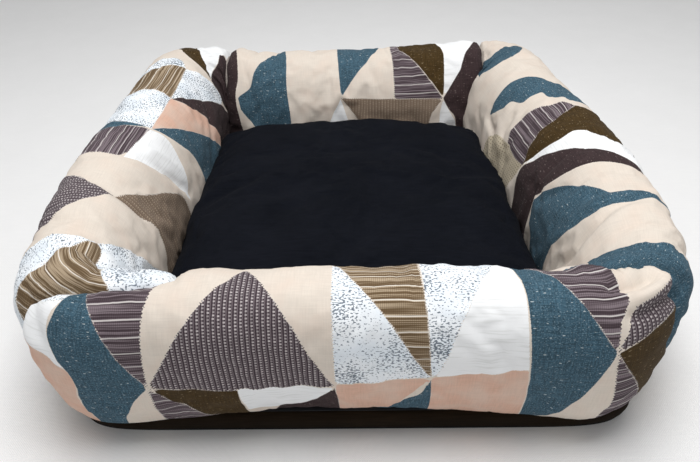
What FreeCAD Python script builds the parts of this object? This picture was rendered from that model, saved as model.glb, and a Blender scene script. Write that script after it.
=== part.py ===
"""Pet cushion bed: a padded base, four stuffed bolsters that lean outwards, and a loose cushion with a zip.

Millimetres. The frame is +Z up, +X to the right and +Y to the back, with its origin at the middle of the
base's underside. The front bolster spans the full width, the side bolsters run from it to the back, and the
back bolster sits between the side ones. Every cover is a closed shell of cloth around its own filling.
"""

import FreeCAD, Part
import os

import Sketcher
from FreeCAD import Placement, Rotation, Vector

DIMENSIONS = [
    ("bed_width", 600, "across the side bolsters, where they bulge most"),
    ("bed_depth", 640, "front bolster to back bolster, where they bulge most"),
    ("bed_height", 170, "floor to the top of the bolsters"),
    ("bolster_thickness", 98, "each bolster, inside face to outside face"),
    ("wall_lean", 26, "how far a bolster's bulge stands outside its foot"),
    ("corner_radius", 80, "outside corners, seen from above"),
    ("crown_radius", 45, "rounding along the top of a bolster"),
    ("foot_radius", 28, "rounding along the foot of a bolster"),
    ("butt_radius", 22, "rounding of a bolster's end against its neighbour"),
    ("cloth", 1.2, "thickness of the covers' cloth"),
    ("stuffing_gap", 0.3, "between a filling and its cover"),
    ("join_web", 1.5, "sewn web between two neighbouring bolsters"),
    ("web_margin", 24, "web's edges inside the bolsters' outline"),
    ("base_height", 25, "floor to the top of the padded base"),
    ("base_inset", 12, "base's edge inside the bolsters' outer foot"),
    ("base_radius", 60, "corners of the base, seen from above"),
    ("base_cloth", 1.5, "bottom, band and lining of the base"),
    ("cushion_gap", 1.5, "between the cushion and the bolsters"),
    ("cushion_height", 64, "thickness of the cushion"),
    ("cushion_seam", 26, "base to the seam round the cushion's edge"),
    ("cushion_corner", 42, "corners of the cushion, seen from above"),
    ("cushion_crown", 32, "rounding along the cushion's upper edge"),
    ("cushion_foot", 12, "rounding along the cushion's lower edge"),
    ("zip_length", 300, "length of the zip's tapes"),
    ("zip_back", 105, "zip behind the middle of the cushion"),
    ("placket_half", 18, "half the width of the fold that hides the zip"),
    ("placket_depth", 16, "depth of that fold"),
    ("placket_end", 14, "chain's end to the tapes' end, and from there to the fold's end"),
    ("mouth_half", 7, "half the width of the slot that the chain lies in"),
    ("tape_width", 12.5, "each zip tape"),
    ("tape_thick", 0.6, "each zip tape"),
    ("coil_radius", 1.3, "each half of the zip's chain"),
    ("chain_gap", 1.4, "between the two halves, for the slider's post"),
    ("stop_length", 3, "metal stops at both ends of the chain"),
    ("slider_length", 12, "zip slider, along the zip"),
    ("slider_half", 4.8, "half the slider's width"),
    ("slider_play", 0.25, "slider to chain, tape and stops"),
    ("plate_thick", 1, "slider's plates, bridge and pull"),
    ("bridge_half", 3.2, "half the length of the slider's bridge"),
    ("bridge_width", 2, "bridge, across the zip"),
    ("bridge_window", 2.4, "room under the bridge for the pull's pin"),
    ("pin_radius", 0.7, "pull's cross pin"),
    ("pull_length", 12.4, "pin's axis to the pull's end"),
    ("pull_half", 2.6, "half the pull's width"),
    ("pull_eye", 4.6, "pin's axis to where the pull's two arms join"),
]
ALIASES = [alias for alias, _, _ in DIMENSIONS]

EDGE_SLACK = 0.01  # how exactly an edge has to lie in a plane to be picked
REACH = 60  # how far a shaping solid runs past the solid it shapes
# The largest share of a wall's thickness that a rounding may take.
CROWN_SHARE, FOOT_SHARE, CORNER_SHARE = 0.47, 0.4, 0.85
CUSHION_CROWN_SHARE, CUSHION_FOOT_SHARE = 0.55, 0.3

doc = FreeCAD.newDocument("pet_cushion_bed")
sheet = doc.addObject("Spreadsheet::Sheet", "dims")
for row, (alias, size_mm, meaning) in enumerate(DIMENSIONS, start=1):
    sheet.set(f"A{row}", meaning)
    sheet.set(f"B{row}", str(size_mm))
    sheet.setAlias(f"B{row}", alias)
doc.recompute()

subparts = []


def size(alias):
    """A dimension's number, for what takes no expression, such as a fillet's edges."""
    return float(sheet.get(alias))


def bind(feature, target, expression):
    """Binds a property to an expression in the sheet's bare aliases, each word set off by spaces."""
    words = [f"dims.{word}" if word in ALIASES else word for word in expression.split()]
    feature.setExpression(target, " ".join(words))


def subpart(feature, label):
    """Marks a feature as a piece that is exported, under this name."""
    feature.Label = label
    subparts.append(feature)


# ---- shaping solids ----


def box(name, x, y, z):
    """A Part::Box between a pair of expressions along each axis."""
    made = doc.addObject("Part::Box", name)
    for side, axis, (low, high) in zip(("Length", "Width", "Height"), "xyz", (x, y, z)):
        bind(made, side, f"( {high} ) - ( {low} )")
        bind(made, f"Placement.Base.{axis}", low)
    return made


def lean_at(height):
    """How far a leaning face stands inside its place at the bulge, at this height."""
    crest = "( bed_height - crown_radius )"
    return f"wall_lean * ( {crest} - ( {height} ) ) / ( {crest} - base_height )"


def leaning_box(name, left, right, front, back, low, high):
    """A Part::Wedge whose four sides lean as the bolsters do. Each side is its place at the bulge and
    the sign of its move towards the foot, and low and high are heights."""
    made = doc.addObject("Part::Wedge", name)
    made.Placement = Placement(Vector(), Rotation(Vector(1, 0, 0), 90))
    for end, height in (("", low), ("2", high)):
        for limit, (place, way) in (("min", left), ("max", right)):
            bind(made, f"X{end}{limit}", f"{place} {way} {lean_at(height)}")
        for limit, (place, way) in (("min", back), ("max", front)):
            bind(made, f"Z{end}{limit}", f"- ( {place} {way} {lean_at(height)} )")
    bind(made, "Ymin", low)
    bind(made, "Ymax", high)
    return made


def cut(base, tool, name):
    made = doc.addObject("Part::Cut", name)
    made.Base, made.Tool = base, tool
    return made


def common(shapes, name):
    made = doc.addObject("Part::MultiCommon", name)
    made.Shapes = shapes
    return made


def fuse(shapes, name):
    made = doc.addObject("Part::MultiFuse", name)
    made.Shapes = shapes
    return made


def fillet(base, name, radius_of):
    """A Part::Fillet of each edge for which radius_of gives a radius."""
    doc.recompute()
    made = doc.addObject("Part::Fillet", name)
    made.Base = base
    radii = [(number, radius_of(edge)) for number, edge in enumerate(base.Shape.Edges, start=1)]
    made.Edges = [(number, radius, radius) for number, radius in radii if radius]
    doc.recompute()
    return made


def is_level(edge, height):
    return all(abs(vertex.Z - height) < EDGE_SLACK for vertex in edge.Vertexes)


def is_upright(edge):
    first, last = edge.Vertexes[0], edge.Vertexes[-1]
    return abs(first.Z - last.Z) > 1


def is_outside(place, axis):
    """Whether a place is at the bed's outer side along this axis, and not at a bolster's inner face."""
    full = size("bed_width") if axis == "x" else size("bed_depth")
    return abs(getattr(place, axis)) > full / 2 - size("bolster_thickness") / 2


# ---- the padded base ----


def origin_plane(body, role):
    return next(feature for feature in body.Origin.OriginFeatures if feature.Role == role)


def plate(name, margin, low, thickness):
    """A PartDesign body: the base's rounded rectangle, margin inside its edge, padded up from low."""
    body = doc.addObject("PartDesign::Body", name)
    sketch = body.newObject("Sketcher::SketchObject", f"{name}_outline")
    sketch.AttachmentSupport = (origin_plane(body, "XY_Plane"), [""])
    sketch.MapMode = "FlatFace"
    bind(sketch, "AttachmentOffset.Base.z", low)
    corners = [Vector(-10, -10), Vector(10, -10), Vector(10, 10), Vector(-10, 10)]
    for start, end in zip(corners, corners[1:] + corners[:1]):
        sketch.addGeometry(Part.LineSegment(start, end), False)
    for side in range(4):
        sketch.addConstraint(Sketcher.Constraint("Coincident", side, 2, (side + 1) % 4, 1))
        way = "Horizontal" if side % 2 == 0 else "Vertical"
        sketch.addConstraint(Sketcher.Constraint(way, side))
    sketch.addConstraint(Sketcher.Constraint("Symmetric", 0, 1, 2, 1, -1, 1))
    for side, way, span in ((0, "DistanceX", "bed_width"), (1, "DistanceY", "bed_depth")):
        number = sketch.addConstraint(Sketcher.Constraint(way, side, 1, side, 2, 20))
        full = f"{span} - 2 * ( wall_lean + base_inset + {margin} )"
        bind(sketch, f"Constraints[{number}]", full)
    pad = body.newObject("PartDesign::Pad", f"{name}_pad")
    pad.Profile = sketch
    bind(pad, "Length", thickness)
    doc.recompute()
    rounding = body.newObject("PartDesign::Fillet", f"{name}_corners")
    edges = enumerate(pad.Shape.Edges, start=1)
    rounding.Base = (pad, [f"Edge{number}" for number, edge in edges if is_upright(edge)])
    bind(rounding, "Radius", f"base_radius - {margin}")
    body.Tip = rounding
    return body


def base():
    """Bottom cloth, side band, foam pad and the lining that the cushion lies on."""
    inner_height = "base_height - 2 * base_cloth"
    subpart(plate("bottom", "0", "0", "base_cloth"), "base_bottom")
    subpart(plate("lining", "0", "base_height - base_cloth", "base_cloth"), "base_lining")
    outside = plate("band_outside", "0", "base_cloth", inner_height)
    inside = plate("band_inside", "base_cloth", "base_cloth", inner_height)
    subpart(cut(outside, inside, "band"), "base_band")
    pad = plate("pad", "( base_cloth + stuffing_gap )", "base_cloth", inner_height)
    subpart(pad, "base_pad")


# ---- the bolsters ----

# A side of a bolster: its place at the bulge, the sign of its move towards the foot, and the sign of a move
# into the bolster.
LEFT = ("- bed_width / 2", "+", "+")
LEFT_INNER = ("- bed_width / 2 + bolster_thickness", "+", "-")
LEFT_BUTT = ("- bed_width / 2 + bolster_thickness + join_web", "+", "+")
RIGHT = ("bed_width / 2", "-", "-")
RIGHT_INNER = ("bed_width / 2 - bolster_thickness", "-", "+")
RIGHT_BUTT = ("bed_width / 2 - bolster_thickness - join_web", "-", "-")
FRONT = ("- bed_depth / 2", "+", "+")
FRONT_INNER = ("- bed_depth / 2 + bolster_thickness", "+", "-")
FRONT_BUTT = ("- bed_depth / 2 + bolster_thickness + join_web", "+", "+")
BACK = ("bed_depth / 2", "-", "-")
BACK_INNER = ("bed_depth / 2 - bolster_thickness", "-", "+")

# Each bolster's left, right, front and back sides.
BOLSTERS = {
    "front": (LEFT, RIGHT, FRONT, FRONT_INNER),
    "back": (LEFT_BUTT, RIGHT_BUTT, BACK_INNER, BACK),
    "left": (LEFT, LEFT_INNER, FRONT_BUTT, BACK),
    "right": (RIGHT_INNER, RIGHT, FRONT_BUTT, BACK),
}
# How far each layer's surface is inside the outer surface, as an expression and in millimetres.
LAYERS = {
    "outer": ("0", 0),
    "room": ("cloth", size("cloth")),
    "filling": ("( cloth + stuffing_gap )", size("cloth") + size("stuffing_gap")),
}


def bar(side, layer, axis, sides):
    """A rounded bar along one axis that runs past a bolster's ends. Its rounding is small only where the
    bolster meets a neighbour."""
    inset, inset_mm = LAYERS[layer]
    across = "y" if axis == "x" else "x"
    lengthwise = (side in ("front", "back")) == (axis == "x")
    thickness = size("bolster_thickness")

    def radius_of(edge):
        first, last = edge.Vertexes[0].Point, edge.Vertexes[-1].Point
        if is_upright(edge) or abs(getattr(last - first, across)) > EDGE_SLACK:
            return 0
        at_top = is_level(edge, size("bed_height") - inset_mm)
        if not lengthwise and not is_outside((first + last) * 0.5, across):
            wanted = size("butt_radius")
        else:
            wanted = size("crown_radius") if at_top else size("foot_radius")
        share = CROWN_SHARE if at_top else FOOT_SHARE
        return min(wanted, thickness * share) - inset_mm

    grown = [(f"{place} {sign} {REACH}", lean) for (place, lean), sign in zip(sides, "-+-+")]
    limits = grown[:2] + sides[2:] if axis == "x" else sides[:2] + grown[2:]
    name = f"{side}_{layer}_along_{axis}"
    raw = leaning_box(name, *limits, f"base_height + {inset}", f"bed_height - {inset}")
    return fillet(raw, f"{name}_rounded", radius_of)


def bolster_solid(side, layer):
    """One layer of a bolster: what its rounded bar along X, the one along Y and its outline seen from
    above have in common."""
    inset, inset_mm = LAYERS[layer]
    sides = [(f"{place} {inwards} {inset}", lean) for place, lean, inwards in BOLSTERS[side]]
    bars = [bar(side, layer, axis, sides) for axis in "xy"]
    name = f"{side}_{layer}_outline"
    outline = leaning_box(name, *sides, f"base_height + {inset}", f"bed_height - {inset}")
    corner = min(size("corner_radius"), size("bolster_thickness") * CORNER_SHARE) - inset_mm

    def radius_of(edge):
        middle = (edge.Vertexes[0].Point + edge.Vertexes[-1].Point) * 0.5
        at_corner = is_outside(middle, "x") and is_outside(middle, "y")
        return corner if is_upright(edge) and at_corner else 0

    if side != "back":
        outline = fillet(outline, f"{name}_rounded", radius_of)
    return common([*bars, outline], f"{side}_{layer}")


def bolster(side):
    """A bolster's cloth cover and the fibre filling inside it."""
    cover = cut(bolster_solid(side, "outer"), bolster_solid(side, "room"), f"{side}_cover")
    subpart(cover, f"{side}_bolster_cover")
    subpart(bolster_solid(side, "filling"), f"{side}_bolster_filling")


def in_order(first, second, way):
    """A pair of places from left to right, for the left half (+) or the mirrored right half (-)."""
    return (first, second) if way == "+" else (second, first)


def corner_webs():
    """The sewn webs that hold neighbouring bolsters together, hidden in the creases between them."""
    low, high = "base_height + foot_radius", "bed_height - crown_radius"
    far = "( bolster_thickness - web_margin )"
    behind = (f"bed_depth / 2 - {far}", "-"), ("bed_depth / 2 - web_margin", "-")
    halves = (("left", "+", LEFT, LEFT_INNER, LEFT_BUTT), ("right", "-", RIGHT, RIGHT_INNER, RIGHT_BUTT))
    for side, way, (place, lean, _), inner_face, butt in halves:
        width = in_order((f"{place} {way} web_margin", lean), (f"{place} {way} {far}", lean), way)
        front = leaning_box(f"web_front_{side}", *width, FRONT_INNER[:2], FRONT_BUTT[:2], low, high)
        subpart(front, f"corner_web_front_{side}")
        gap = in_order(inner_face[:2], butt[:2], way)
        subpart(leaning_box(f"web_back_{side}", *gap, *behind, low, high), f"corner_web_back_{side}")


# ---- the cushion ----

CUSHION_TOP = "( base_height + cushion_height )"
PLACKET_ROOF = "( base_height + placket_depth )"
CHAIN_Z = f"( {PLACKET_ROOF} + cloth + tape_thick / 2 )"
CHAIN_HALF = "( zip_length / 2 - placket_end )"


def cushion_solid(layer):
    """One layer of the cushion, whose sides lean as the bolsters' inner faces do."""
    inset, inset_mm = LAYERS[layer]
    edge = f"( bolster_thickness + cushion_gap + {inset} )"
    raw = leaning_box(
        f"cushion_{layer}_raw",
        (f"- bed_width / 2 + {edge}", "+"),
        (f"bed_width / 2 - {edge}", "-"),
        (f"- bed_depth / 2 + {edge}", "+"),
        (f"bed_depth / 2 - {edge}", "-"),
        f"base_height + {inset}",
        f"{CUSHION_TOP} - {inset}",
    )
    corner = size("cushion_corner") - inset_mm
    cornered = fillet(raw, f"cushion_{layer}_cornered", lambda edge: corner if is_upright(edge) else 0)
    height = size("cushion_height")
    crown = min(size("cushion_crown"), height * CUSHION_CROWN_SHARE) - inset_mm
    foot = min(size("cushion_foot"), height * CUSHION_FOOT_SHARE) - inset_mm
    low_z = size("base_height") + inset_mm
    high_z = size("base_height") + height - inset_mm

    def radius_of(edge):
        if is_level(edge, high_z):
            return crown
        return foot if is_level(edge, low_z) else 0

    return fillet(cornered, f"cushion_{layer}_rounded", radius_of)


def fold_space(name, margin, low, high):
    """The space of the fold that hides the zip, grown sideways by margin, between two heights."""
    half = f"( zip_length / 2 + placket_end + {margin} )"
    across = f"( placket_half + {margin} )"
    return box(name, (f"- {half}", half), (f"zip_back - {across}", f"zip_back + {across}"), (low, high))


def cushion():
    """The loose cushion's top and bottom panels, sewn together round the edge, and its filling."""
    shell = cut(cushion_solid("outer"), cushion_solid("room"), "cushion_shell")
    everywhere = (f"- bed_depth / 2 - {REACH}", f"bed_depth / 2 + {REACH}")
    under, seam, over = f"base_height - {REACH}", "base_height + cushion_seam", f"{CUSHION_TOP} + {REACH}"
    above = box("above_seam", everywhere, everywhere, (seam, over))
    below = box("below_seam", everywhere, everywhere, (under, seam))
    subpart(common([shell, above], "upper_shell"), "cushion_top_panel")
    opening = fold_space("fold_opening", "0", under, seam)
    subpart(cut(common([shell, below], "lower_shell"), opening, "lower_panel"), "cushion_bottom_panel")
    over_slider = f"{CHAIN_Z} + coil_radius + 2 * slider_play + plate_thick + cloth"
    pocket = fold_space("fold_in_filling", LAYERS["filling"][0], under, over_slider)
    subpart(cut(cushion_solid("filling"), pocket, "cushion_core"), "cushion_filling")


def placket():
    """The strip of cloth sewn into the bottom panel that hides the zip: four sides and a slotted roof."""
    block = fold_space("placket_block", "cloth", "base_height + cloth", f"{PLACKET_ROOF} + cloth")
    space = fold_space("placket_space", "0", "base_height", PLACKET_ROOF)
    mouth_end = "( zip_length / 2 + placket_end / 2 )"
    mouth = box(
        "zip_mouth",
        (f"- {mouth_end}", mouth_end),
        ("zip_back - mouth_half", "zip_back + mouth_half"),
        (f"{PLACKET_ROOF} - cloth", f"{PLACKET_ROOF} + 2 * cloth"),
    )
    subpart(cut(cut(block, space, "placket_walls"), mouth, "placket"), "zip_placket")


# ---- the zip on the cushion's underside ----

ZIP_SIDES = (("front", "-"), ("back", "+"))
CHAIN_EDGE = "( chain_gap / 2 + 2 * coil_radius )"
SLIDER_X = f"( {CHAIN_HALF} - slider_play - slider_length / 2 )"
PLATE_Z = f"( {CHAIN_Z} - coil_radius - slider_play - plate_thick )"
PIN_Z = f"( {PLATE_Z} - bridge_window / 2 )"


def beside_zip(way, near, far):
    """A span across the zip, between two distances from its centre line, on one side of it."""
    return in_order(f"zip_back {way} ( {near} )", f"zip_back {way} ( {far} )", way)


def across_zip(half):
    """A span across the zip, the same on both sides of its centre line."""
    return f"zip_back - {half}", f"zip_back + {half}"


def along_slider(low, high):
    """A span along the zip, measured from the slider's middle."""
    return f"{SLIDER_X} + {low}", f"{SLIDER_X} + {high}"


def zip_tape(side, way):
    length = ("- zip_length / 2", "zip_length / 2")
    width = beside_zip(way, CHAIN_EDGE, f"{CHAIN_EDGE} + tape_width")
    height = (f"{CHAIN_Z} - tape_thick / 2", f"{CHAIN_Z} + tape_thick / 2")
    subpart(box(f"tape_{side}", length, width, height), f"zip_tape_{side}")


def zip_coil(side, way):
    """One half of the chain, as a plain round bar."""
    coil = doc.addObject("Part::Cylinder", f"coil_{side}")
    coil.Placement = Placement(Vector(), Rotation(Vector(0, 1, 0), 90))
    bind(coil, "Radius", "coil_radius")
    bind(coil, "Height", f"2 * {CHAIN_HALF}")
    bind(coil, "Placement.Base.x", f"- {CHAIN_HALF}")
    bind(coil, "Placement.Base.y", f"zip_back {way} ( chain_gap / 2 + coil_radius )")
    bind(coil, "Placement.Base.z", CHAIN_Z)
    subpart(coil, f"zip_coil_{side}")


def zip_stops():
    """A pair of stops where the chain closes, and one across both halves where it opens."""
    height = (f"{CHAIN_Z} - coil_radius", f"{CHAIN_Z} + coil_radius")
    closed_end = (CHAIN_HALF, f"{CHAIN_HALF} + stop_length")
    pair = doc.addObject("Part::Compound", "top_stops")
    pair.Links = [
        box(f"top_stop_{side}", closed_end, beside_zip(way, "chain_gap / 2", CHAIN_EDGE), height)
        for side, way in ZIP_SIDES
    ]
    subpart(pair, "zip_top_stops")
    open_end = (f"- {CHAIN_HALF} - stop_length", f"- {CHAIN_HALF}")
    subpart(box("bottom_stop", open_end, across_zip(CHAIN_EDGE), height), "zip_bottom_stop")


def zip_slider():
    """Two plates joined by a post between the chain's halves, flanges round the tapes, and a bridge."""
    whole = along_slider("- slider_length / 2", "slider_length / 2")
    upper_z = f"( {CHAIN_Z} + coil_radius + slider_play )"
    tape_gap = "( tape_thick / 2 + slider_play )"
    bridge = across_zip("bridge_width / 2")
    bar_z = f"( {PLATE_Z} - bridge_window - plate_thick )"
    bridge_parts = {
        "bar": ("- bridge_half", "bridge_half", f"{bar_z} + plate_thick"),
        "open_leg": ("- bridge_half", "- bridge_half + plate_thick", PLATE_Z),
        "closed_leg": ("bridge_half - plate_thick", "bridge_half", PLATE_Z),
    }
    pieces = [
        box("plate_below", whole, across_zip("slider_half"), (PLATE_Z, f"{PLATE_Z} + plate_thick")),
        box("plate_above", whole, across_zip("slider_half"), (upper_z, f"{upper_z} + plate_thick")),
        box("slider_post", whole, across_zip("( chain_gap / 2 - slider_play )"), (PLATE_Z, upper_z)),
    ]
    for side, way in ZIP_SIDES:
        flange = beside_zip(way, f"{CHAIN_EDGE} + slider_play", "slider_half")
        pieces.append(box(f"flange_below_{side}", whole, flange, (PLATE_Z, f"{CHAIN_Z} - {tape_gap}")))
        pieces.append(box(f"flange_above_{side}", whole, flange, (f"{CHAIN_Z} + {tape_gap}", upper_z)))
    for part, (low, high, top) in bridge_parts.items():
        pieces.append(box(f"bridge_{part}", along_slider(low, high), bridge, (bar_z, top)))
    subpart(fuse(pieces, "slider"), "zip_slider")


def zip_pull():
    """The pull, which hangs from a pin through the bridge: two arms beside the bridge and a tab below."""
    thickness = along_slider("- plate_thick / 2", "plate_thick / 2")
    eye_z = f"{PIN_Z} - pull_eye"
    pieces = [box("pull_tab", thickness, across_zip("pull_half"), (f"{PIN_Z} - pull_length", eye_z))]
    for side, way in ZIP_SIDES:
        arm = beside_zip(way, "bridge_width / 2 + slider_play", "pull_half")
        pieces.append(box(f"pull_arm_{side}", thickness, arm, (eye_z, f"{PIN_Z} + pin_radius")))
    pin = doc.addObject("Part::Cylinder", "pull_pin")
    pin.Placement = Placement(Vector(), Rotation(Vector(1, 0, 0), -90))
    bind(pin, "Radius", "pin_radius")
    bind(pin, "Height", "2 * pull_half")
    bind(pin, "Placement.Base.x", SLIDER_X)
    bind(pin, "Placement.Base.y", "zip_back - pull_half")
    bind(pin, "Placement.Base.z", PIN_Z)
    subpart(fuse([*pieces, pin], "pull"), "zip_pull")


def export():
    """Checks every feature, then writes each piece to parts/NODE.step."""
    doc.recompute()
    for feature in doc.Objects:
        if {"Invalid", "Error"} & set(feature.State):
            raise RuntimeError(f"{feature.Name} failed: {feature.State}")
    os.makedirs("parts", exist_ok=True)
    for feature in subparts:
        shape = feature.Shape
        if shape.isNull() or not shape.isValid() or not shape.Solids:
            raise RuntimeError(f"{feature.Label} has no valid solid")
        if min(solid.Volume for solid in shape.Solids) <= 0:
            raise RuntimeError(f"{feature.Label} has a solid with no volume")
        shape.exportStep(os.path.join("parts", f"{feature.Label}.step"))
        print(f"{feature.Label}: {len(shape.Solids)} solid(s), {shape.Volume / 1000:.2f} cm3")


base()
for bolster_side in BOLSTERS:
    bolster(bolster_side)
corner_webs()
cushion()
placket()
for zip_side, zip_way in ZIP_SIDES:
    zip_tape(zip_side, zip_way)
    zip_coil(zip_side, zip_way)
zip_stops()
zip_slider()
zip_pull()
export()
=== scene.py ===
"""Pet cushion bed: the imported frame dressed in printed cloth, with a black cushion and a dark base."""

import math

import bpy
import numpy as np
from mathutils import Matrix, Vector, noise

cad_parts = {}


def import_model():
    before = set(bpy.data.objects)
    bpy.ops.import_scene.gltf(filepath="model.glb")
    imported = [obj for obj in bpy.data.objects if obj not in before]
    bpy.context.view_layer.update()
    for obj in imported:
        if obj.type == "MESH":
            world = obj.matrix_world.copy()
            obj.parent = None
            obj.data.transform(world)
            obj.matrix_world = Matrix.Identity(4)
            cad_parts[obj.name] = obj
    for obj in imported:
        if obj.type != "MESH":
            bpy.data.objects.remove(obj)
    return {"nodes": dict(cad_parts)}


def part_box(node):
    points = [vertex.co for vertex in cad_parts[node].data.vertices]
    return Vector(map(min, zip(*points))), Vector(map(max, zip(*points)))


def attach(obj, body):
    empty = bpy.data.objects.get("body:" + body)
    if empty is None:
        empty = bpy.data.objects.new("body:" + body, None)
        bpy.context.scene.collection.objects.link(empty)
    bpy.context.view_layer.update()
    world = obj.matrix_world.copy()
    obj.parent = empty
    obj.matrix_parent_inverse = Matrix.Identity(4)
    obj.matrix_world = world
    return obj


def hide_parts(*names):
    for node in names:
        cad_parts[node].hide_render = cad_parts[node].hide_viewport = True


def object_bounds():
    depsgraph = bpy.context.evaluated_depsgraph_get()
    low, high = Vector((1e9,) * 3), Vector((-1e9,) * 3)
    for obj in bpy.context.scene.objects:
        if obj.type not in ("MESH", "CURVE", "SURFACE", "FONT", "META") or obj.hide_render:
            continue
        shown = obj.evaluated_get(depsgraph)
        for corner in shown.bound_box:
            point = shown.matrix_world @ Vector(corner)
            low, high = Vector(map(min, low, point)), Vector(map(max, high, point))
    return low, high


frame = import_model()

CAD_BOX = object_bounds()

# ---- driving sizes, in metres ----
HALF_WIDTH = CAD_BOX[1][0] - 0.004
HALF_DEPTH = CAD_BOX[1][1] + 0.003
TOP = CAD_BOX[1][2] - 0.003
WALL = 0.096  # bolster thickness
LEAN = 0.030  # how far the foot of a bolster stands inside its top along a straight side
CORNER_LEAN = 0.019  # and at the bed's outer corners
ROUNDNESS = 0.78  # power of a bolster's section: 1 is an ellipse, less is boxier
TURN = 0.075  # radius at which the cloth's length is measured round a corner
PINCH = 0.013  # how deep a bolster is pulled in at its seam
PINCH_RUN = 0.026  # over what length
BURIED = 0.030  # how much deeper it goes beyond the seam, inside its neighbour
BURY_RUN = 0.020  # over what length
STATION = 0.003  # spacing of a bolster's sections
AROUND = 144  # points in a section
HEM = 0.016  # height of a bolster's hem along a straight side
CORNER_HEM = 0.001  # and at the outer corners, where it sags over the base
HEM_RUN = 0.20  # how far from a corner the sag reaches
CM = 0.01

INNER_X = HALF_WIDTH - WALL
INNER_Y = HALF_DEPTH - WALL
BACK_SEAMS = (-0.182, 0.186)  # where the back bolster ends, left and right
BACK_WALLS = (HALF_WIDTH + BACK_SEAMS[0], HALF_WIDTH - BACK_SEAMS[1])  # side bolsters' thickness at the back
LEFT_SEAM, RIGHT_SEAM = 33, 36  # degrees round the front corners at which the front bolster's cloth ends

# How far a side wall bows outwards of its straight line, from the front of the bed to the back: (y, offset).
BOW = {
    "left": [(-0.27, 0.0), (-0.20, 0.009), (-0.15, 0.016), (-0.05, 0.021), (0.04, 0.019), (0.12, 0.014),
             (0.27, 0.014)],
    "right": [(-0.27, -0.009), (-0.20, 0.013), (-0.15, 0.019), (-0.05, 0.020), (0.02, 0.015), (0.08, 0.007),
              (0.14, -0.002), (0.21, -0.013)],
}
# How far the back bolster's crest sinks below the others': (x, drop).
BACK_DROP = [(-0.18, 0.005), (-0.14, 0.013), (0.02, 0.013), (0.10, 0.007), (0.18, 0.001)]


def degrees(value):
    return value * math.pi / 180


def smooth(value):
    """0 to 1 as value goes from 0 to 1, level at both ends."""
    value = np.clip(value, 0.0, 1.0)
    return value * value * (3 - 2 * value)


# ---- the ring that the four bolsters follow, in runs ----
# A run is (length, inner point at its start and end, outward angle at both, wall thickness at both).
FRONT_LEFT, FRONT_RIGHT = (-INNER_X, -INNER_Y), (INNER_X, -INNER_Y)
BACK_RIGHT, BACK_LEFT = (BACK_SEAMS[1], INNER_Y), (BACK_SEAMS[0], INNER_Y)


def straight(start, end, normal, walls=(WALL, WALL)):
    return (math.dist(start, end), start, end, normal, normal, *walls)


def turn(pivot, start, end, walls=(WALL, WALL)):
    return (degrees(end - start) * TURN, pivot, pivot, start, end, *walls)


FRONT_RUNS = [
    turn(FRONT_LEFT, 180 + LEFT_SEAM, 270),
    straight(FRONT_LEFT, FRONT_RIGHT, 270),
    turn(FRONT_RIGHT, 270, 360 - RIGHT_SEAM),
]
RIGHT_RUNS = [
    turn(FRONT_RIGHT, 360 - RIGHT_SEAM, 360),
    straight(FRONT_RIGHT, BACK_RIGHT, 360, (WALL, BACK_WALLS[1])),
    turn(BACK_RIGHT, 360, 450, (BACK_WALLS[1], WALL)),
]
BACK_RUNS = [straight(BACK_RIGHT, BACK_LEFT, 450)]  # angles grow on past 360 degrees
LEFT_RUNS = [
    turn(BACK_LEFT, 450, 540, (WALL, BACK_WALLS[0])),
    straight(BACK_LEFT, FRONT_LEFT, 540, (BACK_WALLS[0], WALL)),
    turn(FRONT_LEFT, 540, 540 + LEFT_SEAM),
]
RING = FRONT_RUNS + RIGHT_RUNS + BACK_RUNS + LEFT_RUNS
ORIGINS = {}  # length along the ring at which each side begins
WHOLE = 0.0
for side, runs in (("front", FRONT_RUNS), ("right", RIGHT_RUNS), ("back", BACK_RUNS), ("left", LEFT_RUNS)):
    ORIGINS[side] = WHOLE
    WHOLE += sum(run[0] for run in runs)


def ring_at(along):
    """Inner point, outward angle and wall thickness at a length along the ring."""
    along = along % WHOLE
    for length, start, end, first, last, wall_start, wall_end in RING:
        if along <= length:
            break
        along -= length
    share = along / length
    point = np.array(start) + (np.array(end) - np.array(start)) * share
    angle = degrees(first + (last - first) * share)
    wall = wall_start + (wall_end - wall_start) * share
    return point, angle, wall


def middle_of(point, angle, wall):
    """The point halfway through the wall."""
    return np.array(point) + wall / 2 * np.array((math.cos(angle), math.sin(angle)))


def bow_at(point, angle, wall):
    """How far outwards a station is moved, so that the side walls bow as the stuffed ones do."""
    middle = middle_of(point, angle, wall)
    side = "right" if middle[0] > 0 else "left"
    places, offsets = zip(*BOW[side])
    return float(np.interp(middle[1], places, offsets)) * abs(math.cos(angle))


def top_at(point, angle):
    """Height of a bolster's crest at a station."""
    places, drops = zip(*BACK_DROP)
    drop = float(np.interp(point[0], places, drops)) if point[1] > 0 else 0.0
    return TOP - drop * max(math.sin(angle), 0.0) ** 2


def from_corner(point, angle, wall):
    """0 at the bed's outer corners, 1 well away from them."""
    middle = middle_of(point, angle, wall)
    corner = np.array((HALF_WIDTH - WALL / 2, HALF_DEPTH - WALL / 2))
    away = float(np.linalg.norm(np.abs(middle) - corner))
    return float(smooth(away / HEM_RUN))


def hem_at(share):
    """Height of a bolster's hem: low at the bed's outer corners, higher between them."""
    return CORNER_HEM + (HEM - CORNER_HEM) * share


def lean_at(share):
    return CORNER_LEAN + (LEAN - CORNER_LEAN) * share


def signed_power(value, power):
    return np.sign(value) * np.abs(value) ** power


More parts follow.
